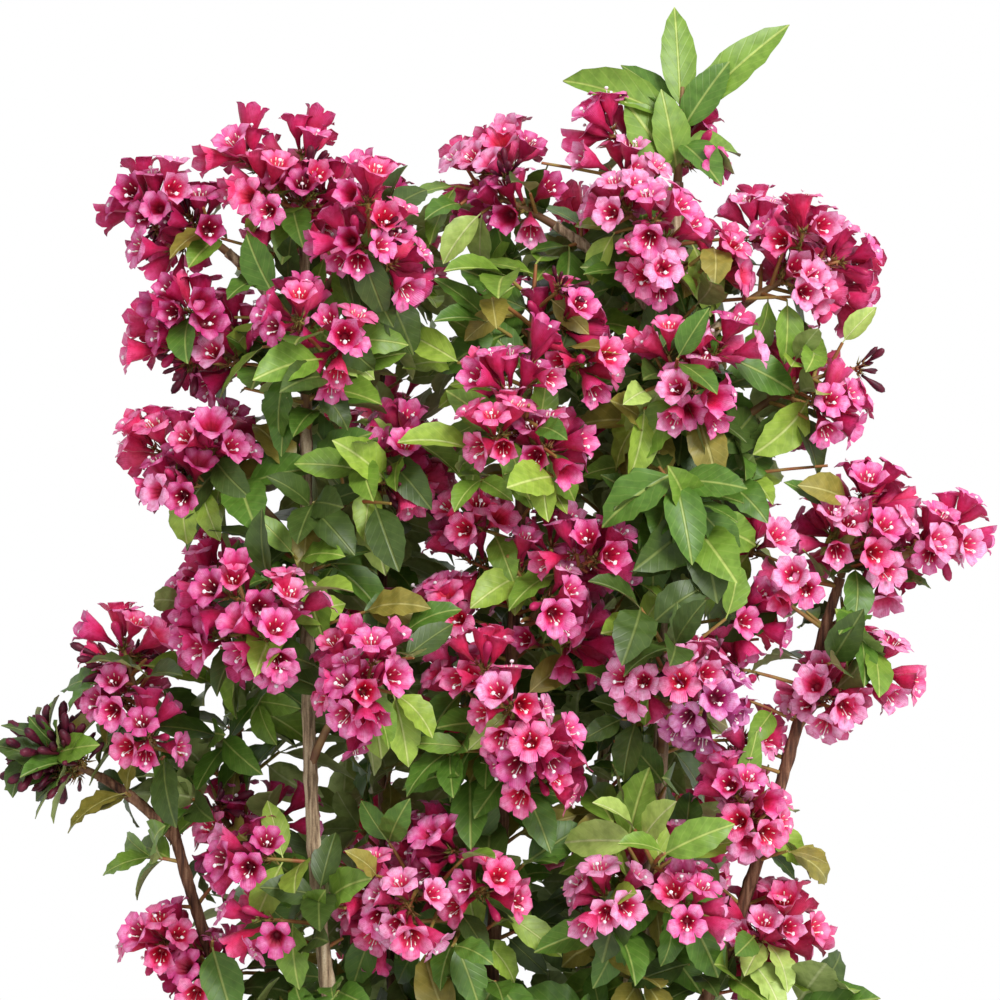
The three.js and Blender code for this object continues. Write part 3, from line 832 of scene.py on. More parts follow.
def map_petal(mesh, outer_faces):
    """v runs from the foot up the outside to the lip at 0.5, and down the inside to the throat at 1."""
    spread = [v.co.z + abs(v.co.y) for v in mesh.vertices]
    lip, foot = max(spread), sum(FLOWER_TUBE[0]) * MM
    throat = min(spread[v] for face in mesh.polygons if face.index >= outer_faces for v in face.vertices)
    for face in mesh.polygons:
        outer = face.index < outer_faces
        for corner in face.loop_indices:
            vertex = mesh.vertices[mesh.loops[corner].vertex_index]
            low = foot if outer else throat
            share = (spread[vertex.index] - low) / (lip - low)
            across = 0.5 if abs(vertex.co.x) < 0.05 * MM else (1.0 if vertex.co.x > 0 else 0.0)
            mesh.uv_layers[0].data[corner].uv = (across, 0.5 * share if outer else 1 - 0.5 * share)


def model_flower(name, lobe, lip, ruffle_depth, ruffle_width, bend):
    """Models a flower. `lobe` lists (out, up, half-width) past the rim, `lip` is how far it hangs."""
    deselect_all()
    foot_height, foot_radius = FLOWER_TUBE[0]
    bpy.ops.mesh.primitive_circle_add(vertices=10, radius=foot_radius * MM, location=(0, 0, 0))
    piece = bpy.context.object
    piece.name = name
    start_editing()
    pick(lambda p: round(math.degrees(math.atan2(p.y, p.x))) not in KEPT_AZIMUTHS)
    bpy.ops.mesh.delete(type="VERT")
    select_everything()
    move(z=foot_height)
    extrude_rings(FLOWER_TUBE)
    rim_height, rim_radius = FLOWER_TUBE[-1]
    half_width = rim_radius * math.sin(math.radians(36))
    for out, up, next_half_width in lobe:
        extrude(y=out, z=up)
        widen(x=next_half_width / half_width)
        half_width = next_half_width
    work = bmesh.from_edit_mesh(piece.data)
    for vertex in work.verts:
        if vertex.select and abs(vertex.co.x) < 0.01 * MM:
            vertex.co.y += LOBE_TIP * MM
    bmesh.update_edit_mesh(piece.data)
    outer_faces = len(work.faces)

    pick(lambda p: p.z > rim_height - 0.01)
    bpy.ops.mesh.duplicate()
    bpy.ops.mesh.flip_normals()
    work = bmesh.from_edit_mesh(piece.data)
    for vertex in work.verts:
        if vertex.select and abs(vertex.co.x) < 0.01 * MM:
            vertex.co.z += LIP_THICKNESS * MM
            vertex.co.y -= (RIM_THICKNESS if vertex.co.z / MM < rim_height + 1 else 0.0) * MM
        vertex.select_set(vertex.select and vertex.co.z / MM < rim_height + 0.6)
    work.select_flush_mode()
    bmesh.update_edit_mesh(piece.data)
    extrude(z=-THROAT_DEPTH)
    widen(x=THROAT_NARROWING, y=THROAT_NARROWING)
    stop_editing()
    map_petal(piece.data, outer_faces)

    start_editing()
    make_five()
    select_everything()
    bpy.ops.mesh.remove_doubles(threshold=0.02 * MM)
    select_nothing()
    bpy.ops.mesh.select_non_manifold()
    bpy.ops.mesh.edge_face_add()
    select_everything()
    turn_round("Z", math.pi)
    pick(lambda p: p.z > rim_height + 1 and p.y < -rim_radius * 0.9)
    move(y=-lip, z=-lip)
    stop_editing()
    waves = {"texture": clouds(name, ruffle_width * MM), "texture_coords": "LOCAL", "direction": "Z"}
    apply_modifier(piece, "ruffles", "DISPLACE", strength=ruffle_depth * MM, **waves)
    bend_down(piece, bend)
    bpy.ops.object.shade_smooth_by_angle(angle=SMOOTH_UNDER)
    return read_template(piece)


BENDS = {"open": 14, "wide": 26, "bell": -12}
FLOWER_SHAPES = {
    "open": ([(1.8, 3.0, 6.2), (2.8, 1.6, 6.0), (1.9, -0.6, 3.7)], 1.4, 3.4, 9),
    "wide": ([(2.6, 2.0, 6.2), (3.2, 0.2, 6.2), (1.9, -1.8, 3.8)], 2.0, 4.4, 7),
    "bell": ([(0.8, 3.4, 5.7), (1.2, 2.8, 5.2), (1.9, 1.2, 2.6)], 0.8, 2.6, 6),
}
flowers = {kind: model_flower(kind, *FLOWER_SHAPES[kind], bend) for kind, bend in BENDS.items()}
for kind, flower in flowers.items():
    print("a flower that is", kind, "has", flower.triangles, "triangles")


# %% [markdown]
# ### Inside and under the flower
#
# The heart of a flower is one long style with a round white stigma, which rests on the lower lip, and
# five cream anthers round it. It bends as its flower does. Under the flower is the slim ovary that looks
# like its stalk, with five narrow sepals. Each is a primitive or two, copied round by Spin. A bud is a
# circle, extruded through rings and closed at its tip.

# %% Modelling the small parts
STYLE_PLACE, STIGMA_PLACE = (0, -3.2, 28), (0, -5.2, 36.6)


def add_rod(vertices, radius, length, place, lean=0.0):
    """Adds a thin cylinder by its middle, all in millimetres, that leans along Y."""
    sizes = {"radius": radius * MM, "depth": length * MM, "location": [c * MM for c in place]}
    bpy.ops.mesh.primitive_cylinder_add(vertices=vertices, rotation=(lean, 0, 0), **sizes)


def model_heart(bend):
    deselect_all()
    add_rod(3, 0.55, 3.4, (0, 4.6, 32), -0.25)
    piece = bpy.context.object
    bpy.ops.object.transform_apply()
    start_editing()
    make_five()
    select_nothing()
    add_rod(3, 0.4, 16, STYLE_PLACE, 0.22)
    select_nothing()
    place = [c * MM for c in STIGMA_PLACE]
    bpy.ops.mesh.primitive_uv_sphere_add(segments=6, ring_count=4, radius=1.7 * MM, location=place)
    widen(z=0.75, centre=STIGMA_PLACE)
    stop_editing()
    for face in piece.data.polygons:
        place = face.center / MM
        is_style = abs(place.x) < 1.8 and place.y < -1 and place.z > 20.5
        face.material_index = 0 if is_style else 1
    bend_down(piece, bend)
    return read_template(piece)


def model_calyx():
    deselect_all()
    add_rod(5, 0.75, 8, (0, 0, 4))
    piece = bpy.context.object
    start_editing()
    pick(lambda p: p.z > 7)
    extrude(z=1.2)
    widen(x=2.1, y=2.1)
    select_nothing()
    sepal = {"radius1": 0.85 * MM, "depth": 7.5 * MM, "location": (0, 3.0 * MM, 11.4 * MM)}
    bpy.ops.mesh.primitive_cone_add(vertices=3, rotation=(-0.55, 0, 0), **sepal)
    make_five()
    stop_editing()
    return read_template(piece)


def model_bud(rings, tip):
    """A closed bud from a circle that is extruded through (height, radius) rings to its tip."""
    deselect_all()
    bpy.ops.mesh.primitive_circle_add(vertices=7, radius=rings[0][1] * MM, fill_type="NGON")
    piece = bpy.context.object
    start_editing()
    bpy.ops.mesh.flip_normals()
    move(z=rings[0][0])
    extrude_rings(rings)
    extrude(z=tip - rings[-1][0])
    bpy.ops.mesh.merge(type="CENTER")
    select_everything()
    bpy.ops.mesh.normals_make_consistent(inside=False)
    stop_editing()
    bpy.ops.object.shade_smooth()
    return read_template(piece)


hearts = {kind: model_heart(bend) for kind, bend in BENDS.items()}
calyx = model_calyx()
plump_bud = model_bud([(8, 1.1), (14, 1.5), (21, 3.0), (26, 3.6), (30, 2.4)], 32)
slim_bud = model_bud([(8, 0.9), (14, 1.3), (19, 2.0), (23, 1.6)], 25)
for name, model in {"heart": hearts["open"], "calyx": calyx, "bud": plump_bud}.items():
    print("a", name, "has", model.triangles, "triangles")


# %% [markdown]
# ### The leaf
#
# A leaf starts as a flat grid, two faces wide. Its rows are scaled to the blade's outline, egg-shaped with
# a drawn-out tip, and every other row stands out as a tooth. The sides are folded up from the midrib, a
# flipped copy just under it makes the pale underside, and Simple Deform twists the blade and bends it
# down. Three leaves with other folds and bends are enough: turned and scaled, no two look alike.

# %% Modelling a leaf
LEAF_ROWS = 12
PETIOLE = 0.09  # the share of a leaf's length that is stalk
STALK_HALF_WIDTH = 0.014
LEAF_HALF_WIDTH = 0.25
LEAF_SWELL = 0.282  # the most that the outline's formula comes to, at two fifths of the blade
TOOTH_OUT, TOOTH_IN = 1.03, 0.98
LEAF_THICKNESS = 0.012


def blade_half_width(share):
    """Half the width of a leaf with a length of 1, at a share of its length."""
    if share <= PETIOLE:
        return STALK_HALF_WIDTH
    along = (share - PETIOLE) / (1 - PETIOLE)
    return STALK_HALF_WIDTH + LEAF_HALF_WIDTH * along**0.8 * (1 - along) ** 1.05 / LEAF_SWELL


def model_leaf(fold, bend, twist, wave):
    """Models a leaf 1 mm long, which copies scale up. Its bend and twist are in degrees."""
    deselect_all()
    bpy.ops.mesh.primitive_grid_add(x_subdivisions=2, y_subdivisions=LEAF_ROWS, size=1 * MM)
    piece = bpy.context.object
    start_editing()
    move(y=0.5)
    for row in range(LEAF_ROWS + 1):
        share = row / LEAF_ROWS
        tooth = TOOTH_OUT if row % 2 == 0 else TOOTH_IN
        half_width = blade_half_width(share) * (tooth if PETIOLE < share < 0.95 else 1.0)
        pick(lambda p: abs(p.y - share) < 0.01)
        widen(x=2 * half_width if row < LEAF_ROWS else 0.004)
        pick(lambda p: abs(p.y - share) < 0.01 and abs(p.x) > 0.001)
        lift = half_width * fold + wave * math.sin(row * 2.1) * half_width
        move(y=0.012 if tooth > 1 and 0 < row < LEAF_ROWS else 0.0, z=lift)
    select_everything()
    bpy.ops.mesh.duplicate()
    bpy.ops.mesh.flip_normals()
    work = bmesh.from_edit_mesh(piece.data)
    for vertex in work.verts:
        if vertex.select and abs(vertex.co.x) < 0.0005 * MM:
            vertex.co.z -= LEAF_THICKNESS * MM
    bmesh.update_edit_mesh(piece.data)
    stop_editing()
    mesh = piece.data
    for face in mesh.polygons:
        face.material_index = 0 if face.index < 2 * LEAF_ROWS else 1
        for corner in face.loop_indices:
            place = mesh.vertices[mesh.loops[corner].vertex_index].co / MM
            mesh.uv_layers[0].data[corner].uv = (0.5 + place.x, min(1.0, max(0.0, place.y)))
    start_editing()
    bpy.ops.mesh.remove_doubles(threshold=0.001 * MM)
    turn_round("X", -math.pi / 2)
    turn_round("Z", math.pi)
    stop_editing()
    for method, axis, angle in [("TWIST", "Z", twist), ("BEND", "X", bend)]:
        shape = {"deform_method": method, "deform_axis": axis, "angle": math.radians(angle)}
        apply_modifier(piece, method, "SIMPLE_DEFORM", **shape)
    bpy.ops.object.shade_smooth_by_angle(angle=SMOOTH_UNDER)
    return read_template(piece)


LEAF_SHAPES = {"flat": (0.16, -26, 6, 0.05), "folded": (0.42, -40, -14, 0.03), "wavy": (0.22, -58, 16, 0.14)}
leaves = [model_leaf(*shape) for shape in LEAF_SHAPES.values()]
print("a leaf has", len(leaves[0].starts), "faces and", leaves[0].triangles, "triangles")

# %% [markdown]
# ## How it grows
#
# The masses share the crown out between them: each has a ball of space, and where two balls meet, the
# border between them is flat. A mass's shoot carries six opposite pairs of side twigs, each pair turned a
# quarter from the last. A side twig grows towards the border of its space, carries leaves in pairs, and
# ends in a bunch of flowers if it comes out into the open, or in more leaves if other masses cover it.
# The numbers that vary it come from one seeded row, so the same shrub grows each time.


# %% A seeded row of numbers, and directions
class SeededRow:
    """The same run of numbers between 0 and 1 for the same seed, each from the last by one product."""

    FACTOR, LIMIT = 16807, 2147483647

    def __init__(self, seed):
        self.state = seed * 7919 + 17

    def __call__(self):
        self.state = (self.state * self.FACTOR) % self.LIMIT
        return self.state / self.LIMIT

    def between(self, low, high):
        return low + (high - low) * self()


def leaning(axis, angle, turn):
    """A direction at an angle to an axis, turned round it, both in degrees."""
    flat = np.array([1.0, 0, 0]) if abs(axis[2]) > 0.95 else UP
    across = unit(np.cross(axis, flat))
    over = np.cross(axis, across)
    lean, spin = math.radians(angle), math.radians(turn)
    return (
        axis * math.cos(lean)
        + across * math.sin(lean) * math.cos(spin)
        + over * math.sin(lean) * math.sin(spin)
    )


# %% The space of a mass
centres = np.array([mass.centre for mass in masses])
sizes = np.array([mass.size for mass in masses], float)
COVERED_DEPTH = 4  # a point this deep in another mass is covered by it
MOST_PLACES = 24000


def room_along(index, point, direction):
    """How far it is from a point in a mass's space to its border, along a direction."""
    mass = masses[index]
    depths = np.sum((centres - point) ** 2, axis=1) - sizes**2
    middle = np.dot(mass.centre - point, direction)
    room = middle + math.sqrt(max(0.0, middle * middle - depths[index]))
    closing = 2 * (centres - mass.centre) @ direction
    left = depths - depths[index]
    nearer = closing > 1e-6
    if nearer.any():
        room = min(room, (left[nearer] / closing[nearer]).min())
    return max(0.0, room)


def in_the_open(index, point):
    """Whether no other mass lies over a point."""
    depths = np.linalg.norm(centres - point, axis=1) - sizes
    depths[index] = 1
    return depths.min() > -COVERED_DEPTH


class Ground:
    """Places that are taken, so that flowers and leaves keep clear of each other."""

    def __init__(self):
        self.taken = np.empty((MOST_PLACES, 3))
        self.count = 0

    def is_free(self, point, distance):
        if not self.count:
            return True
        apart = self.taken[: self.count] - point
        return (apart * apart).sum(axis=1).min() > distance * distance

    def take(self, point):
        self.taken[self.count] = point
        self.count += 1


mouths, bunches, views, blades, blade_middles = [Ground() for _ in range(5)]
print(len(masses), "masses share the crown out")

# %% [markdown]
# A flower, a leaf or a bud is remembered as a stance: where its foot is, which way it grows, which way
# its upper side looks, and its size. Twigs are remembered as strands for the tube maker above.

# %% Stances
REGIONS = {
    "left": "left", "mid_left": "left", "far_left": "left", "centre": "middle",
    "right": "right", "far_right": "right", "back_left": "back", "back_right": "back",
}
CROWN_MIDDLE = np.array([35.0, 28.0, 0.0])
CROWN_FLATNESS = 3.8  # the crown is this much flatter from front to back, as the square of its sides' ratio
stances = {}  # (piece, region) to a list of stances
strands = {}  # (piece, region) to a list of strands


def outwards(point, flatness=CROWN_FLATNESS):
    """The way out of the crown at a point, level with the ground."""
    away = (point - CROWN_MIDDLE) * [1, flatness, 0]
    return unit(away + [0, 1e-6, 0])


def place(piece, region, template, part, foot, direction, facing, size, slimness=1.0):
    """Notes one copy of a template. `part` is the tint that it gets."""
    across = unit(np.cross(facing, direction))
    face = np.cross(direction, across)
    stance = (template, part, foot, np.array([across * slimness, face, direction]) * size)
    stances.setdefault((piece, region), []).append(stance)


# %% [markdown]
# ### Bunches
#
# The flowers of a twig spring from its last few nodes and fan out, so that their mouths lie on a bowl
# round the twig's end. The fan is wider one way than the other, and no two bunches are alike: each is
# swerved off its twig's line, turned to the light, and stands up the more, the higher it grows. A flower
# is left out where its mouth would meet another's or a leaf, and a bunch where another is too near.
# Most flowers of a bunch are of one tint, the others younger or older. Those on the right are dealt
# paler tints and those on the left deeper ones, which paints the lamp's light at the right and shade at
# the left, and the ones on the leader are the youngest and deepest.

# %% Flowers in bunches
FLOWER_LENGTH = 42
FLOWER_SIZES = (0.78, 0.99)
MOUTH_SHARE, THROAT_SHARE = 0.88, 0.62  # how far up a flower its mouth is, and up to that its throat
MOUTH_SPACING = 19.5
BUNCH_SPACING = 31  # between the middles of two bunches
BUNCH_MIDDLE = 24  # from a bunch's neck to its middle
FAN_LEAN = 84  # the widest angle between a flower and its bunch's heading
FAN_FLATNESS = 0.55
MOST_SWERVE = 55
FLOWER_DROOP = 0.12
NECK_LENGTH = 20  # the stretch of a twig that its flowers spring from
STANDING_HEIGHTS = (480, 860)  # bunches stand up more and more between these heights
STANDING = (0.15, 0.85)
OUTWARD_PULL = 0.32
HEADING_FLATNESS = 0.7
TRIES = 4
CLEAR_OF_BLADES, THROAT_CLEAR_OF_BLADES = 8, 5.6
# The paler mix on the right and the deeper one on the left paint the light of the lamp at the upper right
# and shade at the left.
PETAL_MIXES_WITH_PAINTED_LIGHT = {
    "left": {"pale": 0.10, "rose": 0.40, "deep": 0.24, "warm": 0.26},
    "middle": {"pale": 0.24, "rose": 0.38, "deep": 0.14, "warm": 0.24},
    "right": {"pale": 0.50, "rose": 0.28, "deep": 0.04, "warm": 0.18},
    "back": {"pale": 0.26, "rose": 0.36, "deep": 0.14, "warm": 0.24},
    "right_top": {"rose": 0.30, "deep": 0.70},
}
AGEING_MIX = {"lilac": 0.50, "pale": 0.20, "rose": 0.12, "faded": 0.18}
AGEING_SHARES = {"right_lower": 0.45, "far_right_lower": 0.15, "centre_middle": 0.1}
BUNCH_TINT_SHARE = 0.6  # the share of a bunch's flowers that have its own tint for certain
KIND_LIMITS = {"open": 0.40, "wide": 0.66, "bell": 1}  # a draw between 0 and 1 makes the first it is under
BUDS_ABOVE = 0.93  # a higher draw makes a bud
HEART_SHARE = 0.85
TINT_NUMBERS = {tint: number for number, tint in enumerate(PETAL_TINTS)}
VIEW = 16  # the space in front of a flower that no leaf stands in
BUD_LEAN, BUD_SWERVE = 52, 20
SLIM_BUD_SHARE = 0.6
LEAF_TURN = 137.5  # the golden angle, which sets things round a stalk evenly


def choose(row, shares):
    """One of several names, each as likely as its share."""
    mark = row() * sum(shares.values())
    for name, share in shares.items():
        mark -= share
        if mark <= 0:
            return name
    return name


def bunch_heading(row, neck, direction):
    """The middle line of a bunch: its twig's, swerved, and turned outwards and up."""
    stand = np.interp(neck[2], STANDING_HEIGHTS, STANDING)
    swerved = leaning(direction, row.between(0, MOST_SWERVE), row.between(0, 360))
    return unit(swerved + OUTWARD_PULL * outwards(neck, HEADING_FLATNESS) + stand * UP)


def grow_flower(mass, row, foot, way, size, tint, is_old):
    region = REGIONS[mass.stem]
    draw = row()
    if draw > BUDS_ABOVE:
        place("buds", region, plump_bud, 1 if is_old else 0, foot, way, UP, size)
    else:
        kind = next(kind for kind, limit in KIND_LIMITS.items() if draw < limit)
        place("blossom", region, flowers[kind], TINT_NUMBERS[tint], foot, way, UP, size)
        if row() < HEART_SHARE:
            place("hearts", region, hearts[kind], 0, foot, way, UP, size)
    place("calyces", region, calyx, 0, foot, way, UP, size)


def grow_bunch(mass, row, neck, direction, most):
    """A fan of flowers at the end of a twig. Says whether there was room for one."""
    heading = bunch_heading(row, neck, direction)
    middle = neck + heading * BUNCH_MIDDLE
    if not bunches.is_free(middle, BUNCH_SPACING):
        return False
    bunches.take(middle)
    is_old = row() < AGEING_SHARES.get(mass.name, 0.0)
    # A region's mix paints its light or shade in paler or deeper tints.
    own_mix = PETAL_MIXES_WITH_PAINTED_LIGHT.get(mass.name, PETAL_MIXES_WITH_PAINTED_LIGHT[REGIONS[mass.stem]])
    mix = AGEING_MIX if is_old else own_mix
    bunch_tint = choose(row, mix)
    wide_turn = row.between(0, 360)
    placed = 0
    for _ in range(most * TRIES):
        turn = row.between(0, 360)
        flatness = FAN_FLATNESS + (1 - FAN_FLATNESS) * abs(math.cos(math.radians(turn - wide_turn)))
        lean = FAN_LEAN * flatness * math.sqrt(row())
        way = unit(leaning(heading, lean, turn) - FLOWER_DROOP * row() * UP)
        size = row.between(*FLOWER_SIZES)
        foot = neck - direction * (2 + NECK_LENGTH * lean / FAN_LEAN) * row()
        mouth = foot + way * FLOWER_LENGTH * MOUTH_SHARE * size
        throat = foot + (mouth - foot) * THROAT_SHARE
        tint = bunch_tint if row() < BUNCH_TINT_SHARE else choose(row, mix)
        if not mouths.is_free(mouth, MOUTH_SPACING * size):
            continue
        if not (blades.is_free(mouth, CLEAR_OF_BLADES) and blades.is_free(throat, THROAT_CLEAR_OF_BLADES)):
            continue
        mouths.take(mouth)
        views.take(mouth + way * VIEW)
        grow_flower(mass, row, foot, way, size, tint, is_old)
        placed += 1
        if placed == most:
            break
    return True


def grow_buds(mass, row, neck, direction, most, bud_sizes=(0.62, 0.95)):
    """A bunch of dark buds, or of the stalks of flowers that have dropped."""
    region = REGIONS[mass.stem]
    for number in range(most):
        lean = BUD_LEAN * math.sqrt((number + 0.5) / most)
        way = leaning(direction, lean, LEAF_TURN * number + row.between(-BUD_SWERVE, BUD_SWERVE))
        size = row.between(*bud_sizes)
        foot = neck - direction * row.between(0, 8)
        template = slim_bud if row() < SLIM_BUD_SHARE else plump_bud
        place("buds", region, template, 1, foot, way, UP, size)
        place("calyces", region, calyx, 0, foot, way, UP, size)


# %% [markdown]
# ### Leaves
#
# Leaves stand in opposite pairs, each pair a quarter turn from the last. A leaf hangs a little from its
# own weight and turns its upper side to the light, outwards and up. It is left out where it would cut
# through a flower or lie on another leaf, or would stand too far out of the crown. All leaves of one
# twig are the same age, and so have one tint. The leaves inside the crown, on the limbs and at the left
# are dealt dark tints, which paint the shade there. The twigs note their leaves first, and these are
# placed once all the flowers are.

# %% Leaves
LEAF_LENGTHS = {"blossom": (34, 60), "leaf": (46, 72), "bud": (34, 54), "limb": (34, 60)}
LEAF_SLIMNESS = (0.78, 1.02)
LEAF_MIXES = {
    "left": {"deep": 0.28, "dark": 0.18, "middle": 0.30, "fresh": 0.14, "bright": 0.04, "olive": 0.06},
    "middle": {"deep": 0.26, "dark": 0.14, "middle": 0.32, "fresh": 0.18, "bright": 0.05, "olive": 0.05},
    "right": {"deep": 0.30, "dark": 0.12, "middle": 0.30, "fresh": 0.18, "bright": 0.05, "olive": 0.05},
    "back": {"deep": 0.26, "dark": 0.14, "middle": 0.32, "fresh": 0.18, "bright": 0.05, "olive": 0.05},
}
# The dark mix paints shade on the leaves of shaded masses, of the limbs and buds, and of the stems at the
# left; its olive paints the warm shadows there.
SHADED_MIX = {"deep": 0.38, "dark": 0.36, "middle": 0.12, "olive": 0.14}
SHADED_STEMS = {"far_left", "mid_left"}
SHADED_MASSES = {"right_middle", "centre_skirt"}
SHADED_KINDS = {"bud", "limb"}
LEAF_NUMBERS = {tint: number for number, tint in enumerate(LEAF_TINTS)}
LEAF_SPOTS = (0.35, 0.6, 0.8, 1.0)  # the shares of a blade's length where it is tested for room
BLADE_SPACING = 12
CLEAR_OF_MOUTHS = 16
CLEAR_OF_VIEWS = 12
LEAF_STANDS_PROUD = 9
LIMB_LEAF_STANDS_PROUD = 45
LEAF_HANG = 0.3
LOOK_UP = 0.85
LOOK_ABOUT = 0.5
borne = []  # the leaves that all the twigs would bear, before each is tested for room


def leaf_tint(mass, row):
    # Leaves in the shade get the dark mix, which paints that shade.
    is_shaded = mass.name in SHADED_MASSES or mass.kind in SHADED_KINDS or mass.stem in SHADED_STEMS
    return choose(row, SHADED_MIX if is_shaded else LEAF_MIXES[REGIONS[mass.stem]])


def grow_leaf(mass, row, foot, lean, tint):
    """Notes a leaf that a twig would bear."""
    length = row.between(*LEAF_LENGTHS[mass.kind])
    slimness = row.between(*LEAF_SLIMNESS)
    way = unit(lean - LEAF_HANG * UP)
    light = outwards(foot) + UP * LOOK_UP + LOOK_ABOUT * leaning(way, 90, row.between(0, 360))
    template = leaves[int(row() * 3) % 3]
    proud = LIMB_LEAF_STANDS_PROUD if mass.name == "stem" else LEAF_STANDS_PROUD
    region, number = REGIONS[mass.stem], LEAF_NUMBERS[tint]
    borne.append((proud, region, template, number, foot, way, light, length, slimness))


def place_leaf(proud, region, template, number, foot, way, light, length, slimness):
    """Places a leaf, if there is room for it."""
    spots = [foot + way * length * share for share in LEAF_SPOTS]
    if not blade_middles.is_free(spots[1], BLADE_SPACING):
        return
    if not all(mouths.is_free(spot, CLEAR_OF_MOUTHS) for spot in spots):
        return
    if not all(views.is_free(spot, CLEAR_OF_VIEWS) for spot in spots[1:]):
        return
    if (np.linalg.norm(centres - spots[-1], axis=1) - sizes).min() > proud:
        return
    blade_middles.take(spots[1])
    for spot in spots:
        blades.take(spot)
    place("leaves", region, template, number, foot, way, light, length, slimness)


def grow_leaf_pairs(mass, row, points, shares, angles, tint):
    """Opposite pairs of leaves along a twig."""
    heading = unit(points[-1] - points[0])
    turn = row.between(0, 180)
    for number, share in enumerate(shares):
        foot = points[0] + (points[-1] - points[0]) * share
        for half in (0, 180):
            lean = leaning(heading, row.between(*angles), turn + 90 * number + half)
            grow_leaf(mass, row, foot, lean, tint)


# %% [markdown]
# ### Twigs
#
# A side twig that comes out into the open flowers at its end, with a collar of leaves under the bunch.
# A long one has a smaller bunch to each side. A twig that other masses cover, or whose bunch finds no
# room, carries leaves to its tip, and so do the twigs in a few leafy spots at the front of the crown. A
# shaded mass bears fewer bunches, and some masses fill their space to the brim or fall short of it.

# %% Twigs
SHOOT_RADII = (3.3, 1.5)
TWIG_RADII = (1.7, 1.1)
SIDE_TWIG_RADII = (1.1, 0.8)
LEAST_TWIG, MOST_TWIG = 7, 52
LEAST_ROOM = 17
FLOWERING_REACH = (0.70, 1.06)  # how much of its room a flowering twig takes up, with its flowers
LEAFY_REACH = (0.75, 1.0)
FLOWER_ROOM = 0.86 * FLOWER_LENGTH  # what a flowering twig leaves for its flowers
SIDE_FLOWER_ROOM = 0.9 * FLOWER_LENGTH
LEAF_ROOM = 26  # what a leafy twig leaves for the leaf at its tip
FLOWERING_SAG, LEAFY_SAG, SLIGHT_SAG = 0.1, 0.15, 0.05
OPEN_AIR, SIDE_OPEN_AIR = 26, 20  # a twig is in the open if a point this far past its border is
# Where pairs of leaves stand, as shares of a twig's length, and the limits of their angle to it.
COLLAR_LEAVES = ([0.95], (58, 86))
END_LEAVES = ([1.0], (28, 56))
LOWER_LEAVES = ([0.6, 0.25], (52, 82))
SHORT_TWIG_LEAVES = ([0.2], (52, 82))
LEAFY_TWIG_LEAVES = ([1.0, 0.64, 0.3], (34, 66))
TWO_PAIRS_FROM, SIDE_BUNCHES_FROM = 22, 26  # the lengths above which a twig bears them
FLOWERS_IN_A_BUNCH = 8
SPENT_SHARE = 0.05
HIDDEN_BLOOM_SHARE = 0.25
SIDE_BUNCH_SHARE = 0.5
SIDE_BUNCH_LEAN, SIDE_BUNCH_SWERVE = 52, 30
SHORTEST_SIDE_TWIG, LONGEST_SIDE_TWIG = 6, 30
# The share of their flowering twigs that do flower, where a mass is shaded or past its best.
BLOOM_SHARES = {
    "left_top": 0.75, "left_high": 0.85, "left_upper_front": 0.6, "left_lower": 0.85, "left_low": 0.5,
    "left_middle_right": 0.8, "mid_left_top": 0.65, "mid_left_low": 0.45, "far_left_skirt": 0.8,
    "centre_upper": 0.6, "centre_lower": 0.7, "centre_low": 0.45, "right_high": 0.85,
    "right_shoulder": 0.85, "right_upper_front": 0.7, "right_upper_right": 0.85, "right_lower": 0.75,
    "right_low": 0.55, "far_right_lower": 0.6, "far_right_low": 0.7, "far_right_outlier": 0.8,
    "back_left_low": 0.6, "back_right_low": 0.7,
}
# Masses that don't fill their space, or fill it to the brim.
TRIMS = {
    "mid_left_top": 0.9, "mid_left_low": 0.75, "far_left_skirt": 0.75, "far_left_top": 1.1,
    "far_right_middle": 0.7, "far_right_lower": 0.78, "far_right_low": 0.62, "far_right_skirt": 0.7,
    "far_right_outlier": 0.8, "right_arm": 1.15, "right_shoulder": 1.12, "right_upper_right": 1.1,
}
# Places at the front of the crown where the twigs bear leaves alone: x, height and radius.
LEAFY_SPOTS = [
    (-144, 822, 40), (-144, 616, 22), (122, 546, 38), (-6, 478, 28), (144, 754, 34),
    (-76, 408, 28), (-6, 340, 36), (262, 335, 25), (214, 614, 26),
]


def in_leafy_spot(point):
    x, y, z = point
    return y < 0 and any(math.hypot(x - a, z - c) < radius for a, c, radius in LEAFY_SPOTS)


def note_strand(piece, mass, points, radii):
    """Notes a tube through some points, with its radius at its two ends."""
    taper = np.linspace(*radii, len(points))
    strands.setdefault((piece, REGIONS[mass.stem]), []).append((points, taper))


def bowed(start, direction, length, sag, steps=4):
    """The points of a twig that bows down a little."""
    shares = np.linspace(0, 1, steps + 1)[:, None]
    return start + direction * length * shares - UP * sag * length * shares**2


def grow_side_bunches(index, row, fork, direction):
    """A short twig to each side with a small bunch, where they find room."""
    mass = masses[index]
    for half in (60, 240):
        turn = half + row.between(-SIDE_BUNCH_SWERVE, SIDE_BUNCH_SWERVE)
        side = leaning(direction, SIDE_BUNCH_LEAN, turn)
        room = room_along(index, fork, side)
        length = min(LONGEST_SIDE_TWIG, room - SIDE_FLOWER_ROOM)
        if length > SHORTEST_SIDE_TWIG and in_the_open(index, fork + side * (room + SIDE_OPEN_AIR)):
            points = bowed(fork, side, length, SLIGHT_SAG, 2)
            if grow_bunch(mass, row, points[-1], side, FLOWERS_IN_A_BUNCH // 2):
                note_strand("twigs", mass, points, SIDE_TWIG_RADII)


